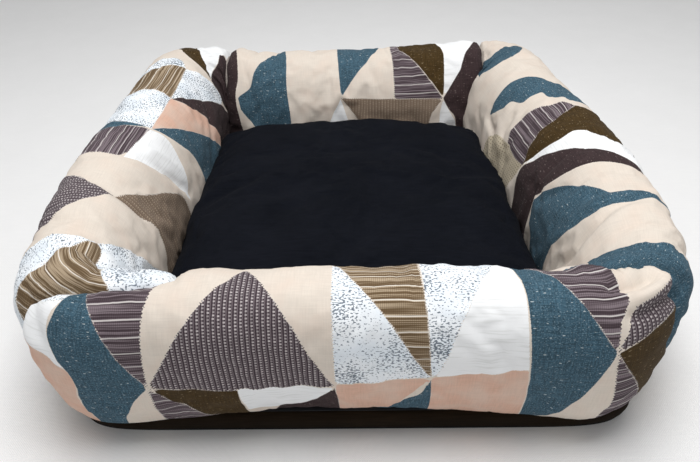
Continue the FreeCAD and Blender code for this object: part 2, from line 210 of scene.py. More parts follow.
def section(shrink, top, hem, wall, lean=LEAN):
    """A bolster's section, pulled in by shrink: outward distance from the well, and height. It starts
    under the bolster and runs up its inner face, over the top and down its outer face."""
    angle = -math.pi / 2 - 2 * math.pi * np.arange(AROUND) / AROUND
    half_high = (top - hem) / 2 - shrink
    out = wall / 2 + (wall / 2 - shrink) * signed_power(np.cos(angle), ROUNDNESS)
    high = (top + hem) / 2 + half_high * signed_power(np.sin(angle), ROUNDNESS)
    return out - lean * (top - high) / (top - hem), high


def girth():
    """Distance round the unpinched section from its crest, growing outwards, and the whole way round."""
    out, high = section(0, TOP, HEM, WALL)
    step = np.hypot(np.diff(out, append=out[:1]), np.diff(high, append=high[:1]))
    along = np.concatenate([[0], np.cumsum(step)[:-1]])
    return along - along[AROUND // 2], float(step.sum())


GIRTH, AROUND_ALL = girth()


def cloth_section(along, shrink):
    """The cloth's points at a length along the ring, one for each entry of GIRTH, shrink deep under it."""
    point, angle, wall = ring_at(along)
    share = from_corner(point, angle, wall)
    out, high = section(shrink, top_at(point, angle), hem_at(share), wall, lean_at(share))
    out = out + bow_at(point, angle, wall)
    return np.stack([point[0] + out * math.cos(angle), point[1] + out * math.sin(angle), high], axis=1)


# ---- seams between neighbouring bolsters: (girth from the crest, length along the ring), in cm ----
# In front the seams run along the crest, because the side bolsters butt against the front one's rear.
# The numbers were chosen by hand, with lengths read off the photograph by a scratch script as a help.
SEAMS = {
    "front_left": [(-20, 13.0), (-1.4, 12.8), (-0.7, 11.4), (-0.3, 8.6), (0.1, 5.4), (1.0, 2.8), (3.4, 0.3),
                   (20, -0.5)],
    "front_right": [(-20, 42.0), (-4.2, 42.2), (-3.2, 43.8), (-1.8, 46.2), (-0.7, 49.0), (0.2, 51.5),
                    (1.2, 54.0), (4, 55.0), (20, 55.0)],
    "back_right": [(-20, 0.0), (20, 0.0)],
    "back_left": [(-20, 0.0), (20, 0.0)],
}
SEAM_ORIGINS = {
    "front_left": 0.0,
    "front_right": 0.0,
    "back_right": ORIGINS["back"],
    "back_left": ORIGINS["left"],
}
ENDS = {
    "front": ("front_left", "front_right"),
    "right": ("front_right", "back_right"),
    "back": ("back_right", "back_left"),
    "left": ("back_left", "front_left"),
}
OVERRUN = 0.030  # how far a bolster's mesh goes on beyond its seam, hidden in its neighbour


def distance_to_run(points, start, end):
    """Distance of many points from one straight run."""
    start, end = np.array(start), np.array(end)
    run = end - start
    share = np.clip(((points - start) @ run) / max(run @ run, 1e-12), 0, 1)
    return np.linalg.norm(points - start - share[..., None] * run, axis=-1)


def seam_corners(seam):
    """A seam's corners as (length along the ring, girth), in metres."""
    return [(SEAM_ORIGINS[seam] + length * CM, across * CM) for across, length in SEAMS[seam]]


def distance_to_line(points, corners):
    """Distance of many points from a line of straight runs."""
    return np.min([distance_to_run(points, a, b) for a, b in zip(corners, corners[1:])], axis=0)


def past_seam(seam, along, around):
    """Signed distance beyond a seam, towards growing length, on the cloth."""
    corners = seam_corners(seam)
    points = np.stack(np.broadcast_arrays(along, around), axis=-1)
    away = distance_to_line(points, corners)
    at_seam = np.interp(points[..., 1], [c[1] for c in corners], [c[0] for c in corners])
    return np.where(points[..., 0] > at_seam, away, -away)


def seam_reach(seam):
    """The least and the greatest length along the ring that a seam comes to."""
    lengths = [corner[0] for corner in seam_corners(seam)]
    return min(lengths), max(lengths)


def pinch(inside):
    """How much a bolster is pulled in where it lies a distance inside its seam, or beyond it."""
    rise = np.clip(inside / PINCH_RUN, 0, 1)
    near = PINCH * (1 - np.sqrt(1 - (1 - rise) ** 2))
    return near + BURIED * smooth(-inside / BURY_RUN)


def bolster_stations(side):
    """Lengths along the ring of a bolster's sections, its two seams, and the second one's shift on it."""
    first, last = ENDS[side]
    shift = WHOLE if side == "left" else 0.0
    low = seam_reach(first)[0] - OVERRUN
    high = seam_reach(last)[1] + shift + OVERRUN
    count = round((high - low) / STATION)
    return np.linspace(low, high, count + 1), first, last, shift


# ---- folds: (points on the cloth in cm, height in mm, half width in cm); a valley has a negative height ----
# Chosen by hand, with lengths read off the photograph by a scratch script as a help.
FOLDS = {
    "front": [
        ([(46.0, -1.6), (48.6, -1.2), (51.6, 0.2), (54.6, 1.2)], 10.0, 0.9),
        ([(47.6, 0.9), (50.3, 1.5), (52.6, 1.5)], -6.5, 0.55),
        ([(49.6, 2.4), (52, 2.4), (54.6, 2.4)], 7.0, 0.65),
        ([(48.8, 3.6), (51.4, 3.5), (54.8, 3.8)], -4.5, 0.55),
        ([(1.0, 3.2), (2.6, 4.0), (3.2, 5.2)], -2.5, 0.7),
        ([(-0.5, 5.5), (2.5, 6.2)], 2.0, 0.9),
        ([(8, 0.9), (10.5, 1.3), (12.5, 0.9)], 1.5, 0.5),
        ([(17.5, 8), (19, 12), (20, 15)], -1.2, 1.2),
        ([(41.5, 9), (43, 13)], -1.2, 1.0),
        ([(28.5, 11), (30, 15)], 1.2, 1.0),
    ],
    "right": [
        ([(10.8, -10), (9.4, -7.6), (9.8, -4), (11.2, -0.6)], -3.0, 0.8),
        ([(8.8, -10), (7.8, -7.4), (8.4, -3.6), (10, -0.6)], 3.0, 1.1),
        ([(12.8, -3.4), (12.4, -1.4), (12.4, 1.4)], 2.2, 0.8),
        ([(13.9, -3.2), (13.8, -1.2), (13.6, 1.2)], -2.2, 0.7),
        ([(17.2, -5), (17.4, -1.5), (16.4, 1.5)], -1.6, 0.9),
        ([(40.4, -8.4), (38, -9.3), (36.4, -11.2)], -4.0, 0.6),
        ([(38.6, -7.2), (36.2, -8.4), (34.6, -10)], 2.4, 0.8),
        ([(37, -4.6), (36.7, -2), (35, -0.4)], -1.8, 0.8),
        ([(26.6, -7), (26, -3), (25, 0.5)], -1.4, 0.8),
        ([(3.5, -9), (2.6, -5.5), (1.5, -2)], 2.0, 1.0),
        ([(52, -9), (50, -5), (48, -1)], -1.8, 0.9),
    ],
    "back": [
        ([(34.2, -3), (33.4, -7), (32.6, -11)], -2.6, 0.7),
        ([(35.3, -2), (35.2, -7), (35.4, -12)], 2.2, 0.6),
        ([(31.8, -9), (33.4, -11.4)], -2.0, 0.5),
        ([(2.6, -4), (2.2, -8), (2.0, -12)], -1.6, 0.7),
        ([(1.0, -2), (0.8, -7), (0.6, -11)], 1.8, 0.6),
    ],
    "left": [
        ([(54.6, -3.8), (57.5, -4), (62, -3.6), (66.5, -2.4)], -3.0, 0.6),
        ([(55.6, -2.4), (60, -2.2), (65, -1.2)], 3.2, 0.9),
        ([(56.4, -0.2), (60, 0.8)], -1.8, 0.6),
        ([(45.5, -1), (46.8, -3.4), (46.4, -6.5)], -1.2, 0.7),
        ([(38.2, -4), (37.2, -6.8), (35.4, -10)], -2.6, 0.7),
        ([(36.2, -4), (34.6, -7.5), (33.8, -10.5)], 2.0, 0.8),
        ([(27, -5), (28.2, -8), (28, -12)], -1.4, 0.8),
        ([(8.4, -5.4), (5, -6.5), (3, -9)], 2.4, 0.7),
        ([(6.6, -4.2), (3.6, -5), (1.6, -7)], -2.4, 0.6),
        ([(2.0, -2), (1.6, -7), (1.4, -12)], 2.0, 0.5),
        ([(5.0, -8), (4.2, -12)], -2.4, 0.5),
        ([(12, -8), (9.6, -11)], 1.8, 0.8),
    ],
}
LUMP = 0.0030  # how far the filling's lumps stand out
LUMP_SPAN = 0.060
RUMPLE = 0.0010  # smaller unevenness of the cloth
RUMPLE_SPAN = 0.017
GATHER = 0.0024  # height of the gathers along a seam
GATHER_RUN = 0.022  # how far they reach from it
GATHER_SPAN = 0.015
RUMPLE_SHIFT = 1.7  # the noises are read at places of their own, so that they don't repeat one another
GATHER_SHIFT = (0, 3.1, 0)
FLOOR_GAP = 0.0006  # the lowest that a bolster's cloth may lie
MM = 0.001


def fold_height(side, along, around):
    """Height of the listed folds at points on the cloth."""
    points = np.stack(np.broadcast_arrays(along, around), axis=-1)
    total = np.zeros(points.shape[:-1])
    for corners, height, width in FOLDS[side]:
        corners = [(u * CM, v * CM) for u, v in corners]
        away = distance_to_line(points, corners)
        total += height * MM * np.exp(-((away / (width * CM)) ** 2))
    return total


def rough(x, y, z, span):
    """Smooth noise about zero."""
    return noise.noise(Vector((x / span, y / span, z / span)))


def rough_over(grid, span, shift=0.0):
    """The noise at every vertex of a grid."""
    points = grid.reshape(-1, 3) + shift
    return np.array([rough(*point, span) for point in points]).reshape(grid.shape[:2])


def swell(side, grid, along, inside):
    """How far each vertex of a bolster stands out: lumps, folds, and gathers along the seams."""
    height = fold_height(side, along[:, None], GIRTH[None, :])
    near = np.exp(-np.clip(inside, 0, None) / GATHER_RUN)
    height = height + LUMP * rough_over(grid, LUMP_SPAN)
    height = height + RUMPLE * rough_over(grid, RUMPLE_SPAN, RUMPLE_SHIFT)
    return height + GATHER * near * rough_over(grid, GATHER_SPAN, GATHER_SHIFT)


def outward(grid):
    """Unit normals of a swept grid that closes round its section."""
    length = np.gradient(grid, axis=0)
    across = np.roll(grid, -1, axis=1) - np.roll(grid, 1, axis=1)
    normal = np.cross(across, length)
    normal /= np.maximum(np.linalg.norm(normal, axis=2, keepdims=True), 1e-9)
    middle = grid.mean(axis=1, keepdims=True)
    facing = np.sign(np.sum(normal * (grid - middle), axis=2).mean())
    return normal * facing


# ---- the cloth simulation that settles each stuffed piece ----
SIM_FRAMES = 14
CLOTH = {
    "quality": 3,
    "mass": 0.25,
    "tension_stiffness": 12,
    "compression_stiffness": 12,
    "shear_stiffness": 4,
    "bending_stiffness": 0.15,
    "air_damping": 2,
    "use_pressure": True,
    "uniform_pressure_force": 4.0,
    "shrink_min": -0.045,  # less than 0: the cloth is cut larger than the filling, so it wrinkles
    "vertex_group_mass": "held",
}
# What share of the wrinkles is kept.
WRINKLES = {"front": 0.38, "left": 0.7, "right": 0.8, "back": 0.7, "cushion": 1.0}
BOLSTER_CAP = 0.005  # how far the simulation may move a point
CUSHION_CAP = 0.004
HELD_RUN = 0.006  # over what length from a seam the cloth is let go
HELD_HEIGHT = 0.030  # and it is held underneath, letting go up to this height
HELD_RISE = 0.010
LEAST_HOLD = 0.01
SWELL_ROUNDS = 60  # how widely the simulation's overall swelling is averaged before it is taken away


def averaged(values, edges):
    """Values at the vertices, each replaced by its neighbours' average, round after round."""
    count = len(values)
    near = np.concatenate([edges[:, 0], edges[:, 1]])
    far = np.concatenate([edges[:, 1], edges[:, 0]])
    share = np.bincount(near, minlength=count)
    for _ in range(SWELL_ROUNDS):
        values = np.stack([np.bincount(near, column[far], count) / share for column in values.T], axis=1)
    return values


def settle(piece, held, share, cap):
    """Runs Blender's Cloth on a stuffed piece, held where held is 1, and keeps its wrinkles in the mesh.
    The overall swelling is taken away, so the piece keeps its size."""
    mesh = piece.data
    count = len(mesh.vertices)
    start = np.empty(count * 3, dtype=np.float32)
    mesh.vertices.foreach_get("co", start)
    group = piece.vertex_groups.new(name="held")
    for index, weight in enumerate(held):
        if weight > LEAST_HOLD:
            group.add([index], float(weight), "REPLACE")
    cloth = piece.modifiers.new("settling", "CLOTH")
    for name, value in CLOTH.items():
        setattr(cloth.settings, name, value)
    cloth.settings.effector_weights.gravity = 0
    cloth.point_cache.frame_start = 1
    cloth.point_cache.frame_end = SIM_FRAMES
    for number in range(1, SIM_FRAMES + 1):
        bpy.context.scene.frame_set(number)
    settled = piece.evaluated_get(bpy.context.evaluated_depsgraph_get()).data
    end = np.empty(count * 3, dtype=np.float32)
    settled.vertices.foreach_get("co", end)
    piece.modifiers.remove(cloth)
    piece.vertex_groups.remove(group)
    bpy.context.scene.frame_set(1)
    move = (end - start).reshape(-1, 3)
    edges = np.empty(len(mesh.edges) * 2, dtype=np.int32)
    mesh.edges.foreach_get("vertices", edges)
    move = (move - averaged(move, edges.reshape(-1, 2))) * share * (1 - np.array(held))[:, None]
    length = np.linalg.norm(move, axis=1, keepdims=True)
    move *= np.minimum(1.0, cap / np.maximum(length, 1e-9))
    settled_at = start.reshape(-1, 3) + move
    settled_at[:, 2] = np.clip(settled_at[:, 2], 0.0, None)
    mesh.vertices.foreach_set("co", settled_at.ravel())
    mesh.update()


def banded(rows, around):
    """Faces between neighbouring rows of vertices, each row closed on itself."""
    faces = []
    for i in range(rows - 1):
        for j in range(around):
            k = (j + 1) % around
            faces.append((i * around + j, i * around + k, (i + 1) * around + k, (i + 1) * around + j))
    return faces


def end_faces(rows, around):
    """One face across the first row and one across the last."""
    last = (rows - 1) * around
    return [tuple(range(around))[::-1], tuple(range(last, last + around))]


def cloth_uvs(local):
    """The cloth's length and girth at each corner of a bolster's faces; its two end faces have none."""
    rims = np.append(GIRTH, GIRTH[0] + AROUND_ALL)
    uvs = []
    for u0, u1 in zip(local, local[1:]):
        for v0, v1 in zip(rims, rims[1:]):
            uvs += [(u0, v0), (u0, v1), (u1, v1), (u1, v0)]
    return np.array(uvs + [(0, 0)] * (2 * AROUND), dtype=np.float32)


def bolster_mesh(side):
    """One bolster: its swept grid, its print and its wrinkles."""
    lengths, first, last, shift = bolster_stations(side)
    rows, margins = [], []
    for along in lengths:
        inside = np.minimum(past_seam(first, along, GIRTH), -past_seam(last, along - shift, GIRTH))
        rows.append(cloth_section(along, pinch(inside)))
        margins.append(inside)
    grid, margins = np.array(rows), np.array(margins)
    local = lengths - ORIGINS[side]
    grid += outward(grid) * swell(side, grid, local, margins)[..., None]
    grid[..., 2] = np.clip(grid[..., 2], FLOOR_GAP, None)
    faces = banded(len(rows), AROUND) + end_faces(len(rows), AROUND)
    piece = mesh_piece(f"{side}_bolster", grid.reshape(-1, 3), faces)
    layer = piece.data.uv_layers.new(name="cloth")
    layer.data.foreach_set("uv", cloth_uvs(local).ravel())
    along, around = np.meshgrid(local, GIRTH, indexing="ij")
    paint(piece, side, np.stack([along.ravel(), around.ravel()], axis=1))
    at_seams = 1 - smooth(margins / HELD_RUN)
    underneath = smooth((HELD_HEIGHT - grid[..., 2]) / HELD_RISE)
    settle(piece, np.maximum(at_seams, underneath).ravel(), WRINKLES[side], BOLSTER_CAP)
    return piece


def mesh_piece(name, vertices, faces):
    mesh = bpy.data.meshes.new(name)
    mesh.from_pydata(np.asarray(vertices).tolist(), [], faces)
    mesh.update()
    mesh.polygons.foreach_set("use_smooth", [True] * len(mesh.polygons))
    piece = bpy.data.objects.new(name, mesh)
    bpy.context.scene.collection.objects.link(piece)
    return piece


# ---- the print: patches on the cloth, as (length along the piece, girth from its crest), in cm ----
# A third value marks a point that the outline curves through. A later patch covers an earlier one.
# Where the photograph shows the cloth, these points were picked in it and a scratch script turned them into
# lengths on the cloth. Many were rounded or shifted afterwards. report.md says what is wrong with that.
PRINT = {
    "front": [
        ("white", [(-4, -14), (5.6, -14), (5.8, 0), (4.4, 2, 1), (3.9, 4, 1), (4.2, 6.1, 1), (5.2, 8),
         (3.6, 6.7), (-4, 3)]),
        ("speckle", [(-4, -14), (5.7, -14), (5.6, 0.4), (4.6, 1.7), (2.4, 2.6), (-4, 2.4)]),
        ("peach", [(-4, 3), (3.6, 6.7), (5.2, 8), (5.2, 9), (4.9, 11), (4.7, 14), (4.5, 20), (-4, 20)]),
        ("teal", [(4.4, -2), (5.0, -2), (10.8, 9.7), (9.2, 11.6), (7.9, 14), (7.2, 20), (4.5, 20),
         (4.8, 13, 1), (5.2, 8.8, 1), (4.2, 6, 1), (4, 4.4, 1), (4.4, 2.6, 1)]),
        ("stripes", [(5.0, -2), (4, -9), (13.5, -9), (12.2, -0.8, 1), (11.5, 2.6, 1), (11.2, 5.2, 1),
         (10.8, 9.7)]),
        ("herringbone", [(18.9, -1.9), (23.0, 4.2), (25.9, 10.7), (18.2, 10.95), (10.8, 9.8), (13.8, 4.8)]),
        ("ochre", [(25.9, -2.8), (25.9, -10), (32.7, -10), (32.8, -2), (33.1, 2), (33.7, 9.4)]),
        ("speckle", [(25.9, -2.8), (28.1, 0.7), (30.6, 4.1), (32.6, 7.6), (33.7, 9.4), (26, 10.4)]),
        ("white", [(32.7, -10), (39, -10), (40.2, -2.5, 1), (40.7, 1, 1), (40.9, 4.8, 1), (41.3, 8),
         (33.7, 9.45), (33.1, 2)]),
        ("speckle", [(32.7, -10), (40.5, -10), (38.7, -2), (36.8, 1.8), (35.5, 4.6), (34.1, 9.2),
         (33.7, 9.4), (33.1, 2)]),
        ("teal", [(40.1, -3), (38, -7), (40.5, -7), (41.6, -3, 1), (43.5, 0.1, 1), (46, 3.8, 1), (47.7, 6.1),
         (47.2, 7.9, 1), (46, 11.1, 1), (44, 16), (41.9, 20), (41.8, 14, 1), (41.5, 9, 1), (41, 4, 1),
         (40.7, 0, 1)]),
        ("stripes", [(40.5, -7), (42, -12), (49, -9), (48.6, -0.5, 1), (48.7, 2.2, 1), (47.8, 3.8),
         (47.7, 6.1), (46, 3.8, 1), (43.5, 0.1, 1), (41.6, -3, 1)]),
        ("herringbone", [(49.2, 2.9), (53.8, 2.4), (54.6, 4.4), (50.6, 5), (47.7, 6.1)]),
        ("olive", [(47.8, 6.2), (50.6, 5), (54.6, 4.4), (58, 5), (58, 15), (53.5, 15), (51.1, 11.4),
         (48.9, 8.1)]),
        ("stripes", [(47.8, 6.2), (48.9, 8.1), (51.1, 11.4), (53.5, 15), (58, 20), (47.5, 20),
         (48.5, 12.2, 1), (48.2, 9.6, 1)]),
        ("herringbone", [(53.4, 0.2), (57, 0.2), (57, 3.2), (54.6, 2.4)]),
        ("stripes", [(10.8, 9.9), (14, 14.2), (17, 20), (11, 20), (10.8, 14)]),
        ("olive", [(10.9, 9.9), (17.9, 10.9), (18, 13.5), (18.5, 20), (17, 20), (14, 14.2, 1),
         (12, 11.6, 1)]),
        ("white", [(17.9, 10.9), (25.9, 10.8), (24.6, 12.9, 1), (23.3, 14.4, 1), (21, 15.5), (18.3, 15.3)]),
        ("plum", [(25.9, 10.8), (26.1, 12.3), (26.3, 20), (18.5, 20), (21, 15.5), (23.3, 14.4, 1),
         (24.6, 12.9, 1)]),
        ("peach", [(26, 10.5), (33.7, 9.5), (31.4, 14), (28, 20), (26.3, 20), (26.1, 12.3)]),
        ("teal", [(33.7, 9.5), (33.9, 12.4), (33.9, 20), (27, 20), (31.4, 14, 1), (33, 12.2, 1)]),
        ("peach", [(33.7, 9.5), (41.3, 8), (41.6, 11), (41.9, 20), (33.9, 20), (33.9, 12.4)]),
    ],
    "left": [
        ("speckle", [(57, 10), (55.9, 3, 1), (54.9, 0, 1), (54.6, -3, 1), (52.3, -6.4, 1), (50, -10, 1),
         (48.2, -12.4), (47, -16), (78, -16), (78, 10)]),
        ("ochre", [(60.3, 6), (59.9, 2, 1), (58.2, 0, 1), (56.8, -1.2, 1), (54.4, -3.5), (56, -4.0),
         (66.4, -2.8), (69, -0.8), (70, 2), (63, 6)]),
        ("herringbone", [(46.8, -3.2), (49.4, -0.4, 1), (51.5, 1.5, 1), (54, 4, 1), (56, 9), (41, 9),
         (43.3, 3.2, 1), (44.6, 1, 1), (45.7, -0.4, 1)]),
        ("hatch", [(46.8, -3.2), (44.6, -5, 1), (42.6, -6.5, 1), (39, -8.7, 1), (36, -11.5, 1), (35, -18),
         (47, -18), (46.1, -13.1, 1), (45.9, -8.8, 1), (46.7, -6.1, 1)]),
        ("stripes", [(34, 3), (33.3, 1), (33, -1), (32.7, -2.9), (37.6, -2.8), (39.8, -1.6), (39.4, 0.5, 1),
         (39.3, 2, 1), (40, 7), (34.5, 7)]),
        ("white", [(32.7, -2.9), (32.2, -4.6, 1), (32.6, -6.6, 1), (33.6, -9.2, 1), (34.8, -12.4),
         (35.8, -9.6, 1), (36.8, -7.4, 1), (38.7, -5, 1), (39.9, -2.2), (37.6, -2.4)]),
        ("teal", [(32.3, -3), (32.2, -0.8, 1), (31.7, 1.4, 1), (31.4, 4, 1), (31.5, 8), (34.8, 8),
         (34, 3, 1), (33.2, 0, 1)]),
        ("teal", [(32.3, -3), (29.2, -5.2), (25.6, -8), (20.3, -12), (16, -18), (28, -18), (28.7, -12.6, 1),
         (29.3, -9.6, 1), (30.4, -7.5, 1), (31.5, -5.4, 1)]),
        ("peach", [(24, -2.7), (23.2, -5, 1), (21.7, -6.8, 1), (20.6, -9, 1), (18.7, -12), (16, -18),
         (20.3, -12), (25.6, -8), (29.2, -5.2), (32.3, -3), (28.5, -2.9)]),
        ("speckle", [(24, -2.7), (23.1, -1, 1), (22.9, 1, 1), (23.4, 3, 1), (24, 8), (31.5, 8), (31.4, 4, 1),
         (31.7, 1.4, 1), (32.2, -0.8, 1), (32.3, -3), (28.5, -2.9)]),
        ("plum", [(24, -2.7), (20, -5.5), (14, -8.9), (11, -12), (12, -18), (16, -18), (18.7, -12),
         (20.6, -9, 1), (21.7, -6.8, 1), (23.2, -5, 1)]),
        ("speckle", [(24, -2.7), (19, -2.5), (14.4, -2.2), (13.7, -4), (12.6, -6.2), (12.8, -8.8),
         (14, -8.9), (20, -5.5)]),
        ("ochre", [(24, -2.7), (22.9, -1, 1), (22.8, 0.8, 1), (23.4, 3, 1), (24, 6), (20, 7), (17.4, 3.2, 1),
         (15.4, 1.4, 1), (14.2, -0.4, 1), (14.2, -2.3), (19, -2.5)]),
        ("speckle", [(14.2, -2.3), (14.2, -0.4), (15.4, 1.4), (17.4, 3.2), (20, 7), (16, 8), (13, 4, 1),
         (12, 1.5, 1), (12.2, -1, 1)]),
        ("olive", [(6.5, 4), (8, 0.5), (10, -1.7), (10.8, -3.3), (12.4, -5.9), (8.1, -3.8), (5.7, -0.4),
         (4, 3)]),
        ("white", [(4, 4), (5.7, -0.4), (8.1, -3.8), (12.4, -5.9), (8, -5), (3.5, -3.6), (1.4, -1.4),
         (-0.5, 0), (-2, 4)]),
        ("plum", [(-2, -0.4), (1.4, -1.4, 1), (3.5, -3.6, 1), (8, -5, 1), (12.4, -5.9), (12.8, -9),
         (11, -12), (12, -20), (-3, -20)]),
    ],
    "back": [
        ("teal", [(28.7, 3), (29.6, 0, 1), (31.4, -2, 1), (32.6, -4, 1), (33.2, -6.3, 1), (34.9, -8),
         (34.6, -9.8), (32.4, -13), (31, -18), (27.4, -18), (27.6, -11.5, 1), (28, -7, 1), (28.1, -2, 1)]),
        ("teal", [(20.9, 3), (20.8, -0.8), (20.3, -8.2), (18.4, -5.2), (15.8, -1.4, 1), (13.7, 3)]),
        ("stripes", [(13.2, 3), (13.1, 0), (12.6, -8.7), (5.8, -8.9), (12, -0.2), (12.4, 3)]),
        ("olive", [(12.3, 3), (12, -0.2), (5.8, -8.7), (5.5, -5), (5.7, -2, 1), (6.5, 0.8, 1), (7.8, 3)]),
        ("hatch", [(20.3, -8.2), (12.6, -8.7), (5.8, -8.9), (7.4, -11), (8.5, -16), (16.5, -16),
         (17.6, -12)]),
        ("white", [(20.3, -8.4), (19.4, -11.5), (19, -18), (22.5, -18), (22, -11.8)]),
        ("white", [(5.6, -2), (5.7, -8.6), (4.2, -6.6), (3.4, -5), (2.6, -2.6, 1), (1.5, -0.4, 1), (0.5, 3),
         (7.8, 3), (6.5, 0.8)]),
        ("plum", [(5.8, -8.9), (4.4, -6.6), (3.4, -5), (2.6, -2.6, 1), (1.5, -0.4, 1), (0.5, 3), (-4, 3),
         (-4, -18), (3.4, -18), (3.9, -12, 1), (4.9, -10.5, 1)]),
        ("white", [(5.8, -9), (4.9, -10.6), (3.9, -12.2), (3.5, -18), (6, -18), (6.2, -11)]),
        ("plum", [(36.2, 4), (35.2, -1.6, 1), (34.9, -5, 1), (35.2, -8, 1), (34.8, -12, 1), (34.4, -18),
         (44, -18), (44, 4)]),
    ],
    "right": [
        ("teal", [(-10, -3), (0, -5.9), (5.8, -5.7), (5.2, -3.4, 1), (4.4, -1, 1), (4.6, 1.6, 1),
         (4, 3.6, 1), (3, 6, 1), (2, 12), (-12, 12), (-12, -2)]),
        ("teal", [(21.2, -8.6), (18.7, -5.8, 1), (16.6, -4, 1), (14.5, -2.5, 1), (13.3, -1.4, 1),
         (13.9, 0, 1), (12.5, 0.9, 1), (11.9, 2.5), (11.4, 5), (11.1, 5), (11.4, 1), (11.3, -1.5, 1),
         (11.7, -5, 1), (13, -8.2, 1), (14.6, -11.5, 1), (16, -18), (19.5, -18), (20.5, -13.4, 1),
         (21.7, -11, 1)]),
        ("olive", [(27.4, -8.6), (28.3, -6.8), (29, -4.6), (29.4, -2.4), (30.7, -1), (31.6, 0.3), (32, 3),
         (31, 8), (21.5, 8), (22, 4), (23.6, 1.5, 1), (25.3, 0.2, 1), (26.2, -1.4, 1), (25.9, -3.4, 1),
         (26.5, -6, 1)]),
        ("white", [(27.4, -8.6), (26.5, -6, 1), (25.9, -3.4, 1), (26.2, -1.4, 1), (25.3, 0.2, 1),
         (23.6, 1.5, 1), (22, 4), (21.5, 8), (17, 8), (18, 3), (19.4, 1.3), (21, -0.4), (22.8, -2.6),
         (25, -5.6)]),
        ("plum", [(27.4, -10), (27.2, -8.6, 1), (25, -5.6, 1), (22.8, -2.6, 1), (21, -0.4, 1),
         (19.4, 1.3, 1), (18, 3), (17.3, 6), (17, 6), (17.4, 2), (18.2, 0.5, 1), (18.8, -1.2, 1),
         (19.2, -3.2, 1), (20.1, -5.9, 1), (21.2, -8.3, 1), (22.1, -10.7, 1), (22.2, -18), (27, -18)]),
        ("stripes", [(27.4, -8.7), (30, -9), (33.2, -8.7), (33.9, -6.7, 1), (33.8, -4.6, 1), (33.5, -2.7, 1),
         (32.9, -0.5, 1), (31.6, 0.4), (30.7, -1), (29.4, -2.4), (29, -4.6), (28.3, -6.8)]),
        ("tan", [(33.4, -8.6), (30, -8.9), (27.6, -8.7), (28.5, -10.5), (30, -14), (31, -18), (38, -18),
         (39, -11.5, 1), (36.5, -9, 1)]),
        ("teal", [(40.6, -8.2), (41, -5.6, 1), (41.5, -2.9, 1), (41, -0.8, 1), (39.6, 0.9, 1), (38, 2.5),
         (36, 6), (34, 6), (33, 1.3, 1), (34.4, 0, 1), (35, -1.1, 1), (36.7, -1.3, 1), (36.8, -2.6, 1),
         (36.4, -3.9, 1), (38, -4.8, 1), (38.4, -6.2, 1)]),
        ("teal", [(61, -6), (61.5, -4, 1), (57.1, -3, 1), (54.7, -1.3, 1), (52.5, 1.4), (50.2, 0.6),
         (49.3, 0.3), (48.1, -1.1, 1), (47.4, -3.5, 1), (48.8, -5.8)]),
    ],
}
# The outer faces that the photograph doesn't show carry a regular run of the same patches:
# (first length, last length, girth where they start), in cm.
UNSEEN = {"left": (-1, 56, 8.2), "back": (-3, 38, 3.6), "right": (6, 60, 8.2)}
UNSEEN_PITCH = 11.0
UNSEEN_ROW = 15.6  # girth at which the lower row starts
UNSEEN_END = 21.0
TALL_KINDS = ["herringbone", "teal", "ochre", "plum", "stripes"]
HANGING_KINDS = ["speckle", "peach", "white", "olive"]
LOWER_KINDS = ["olive", "white", "teal", "stripes", "peach"]


def unseen_patches(side):
    """Standing triangles, hanging petals between them and a lower row, repeated along a hidden face."""
    first, last, start = UNSEEN[side]
    patches = []
    for number in range(int((last - first) / UNSEEN_PITCH) + 1):
        left = first + number * UNSEEN_PITCH
        right = min(left + UNSEEN_PITCH, last)
        middle = (left + right) / 2
        patches.append((TALL_KINDS[number % 5], [(left, UNSEEN_ROW), (middle, start), (right, UNSEEN_ROW)]))
        bulge = (right + 2.4, UNSEEN_ROW - 5, 1)
        hanging = [(middle + 0.4, start), (middle + 6, start), bulge, (right, UNSEEN_ROW)]
        patches.append((HANGING_KINDS[number % 4], hanging))
        lower = [(left, UNSEEN_ROW), (right, UNSEEN_ROW), (right, UNSEEN_END), (middle, UNSEEN_END)]
        patches.append((LOWER_KINDS[number % 5], lower))
    return patches


for hidden_side in UNSEEN:
    PRINT[hidden_side] += unseen_patches(hidden_side)
CLASSES = [
    "teal", "peach", "white", "speckle", "olive", "plum", "stripes", "herringbone", "ochre", "hatch", "tan",
]
CURVE_STEPS = 6
FAR = 0.03  # a patch's distance is not followed further than this from its edge


def outline_points(corners):
    """The outline as many points: straight between plain corners, curved through marked ones."""
    count = len(corners)
    points = []
    for k in range(count):
        four = [corners[(k + step) % count] for step in (-1, 0, 1, 2)]
        rounded = len(four[1]) == 3, len(four[2]) == 3
        before, here, after, next_after = (np.array(corner[:2], dtype=float) for corner in four)
        leave = (after - before) / 2 if rounded[0] else after - here
        arrive = (next_after - here) / 2 if rounded[1] else after - here
        for step in range(CURVE_STEPS if any(rounded) else 1):
            t = step / CURVE_STEPS
            points.append(
                (2 * t**3 - 3 * t**2 + 1) * here + (t**3 - 2 * t**2 + t) * leave
                + (3 * t**2 - 2 * t**3) * after + (t**3 - t**2) * arrive
            )
    return np.array(points) * CM


def inside_by(outline, points):
    """Signed distance of many points inside a closed outline."""
    away = np.full(len(points), FAR)
    crossings = np.zeros(len(points), dtype=int)
    for start, end in zip(outline, np.roll(outline, -1, axis=0)):
        away = np.minimum(away, distance_to_run(points, start, end))
        spans = (start[1] > points[:, 1]) != (end[1] > points[:, 1])
        rise = end[1] - start[1] if end[1] != start[1] else 1.0
        meets = start[0] + (points[:, 1] - start[1]) / rise * (end[0] - start[0])
        crossings += spans & (points[:, 0] < meets)
    return np.where(crossings % 2 == 1, away, -away)


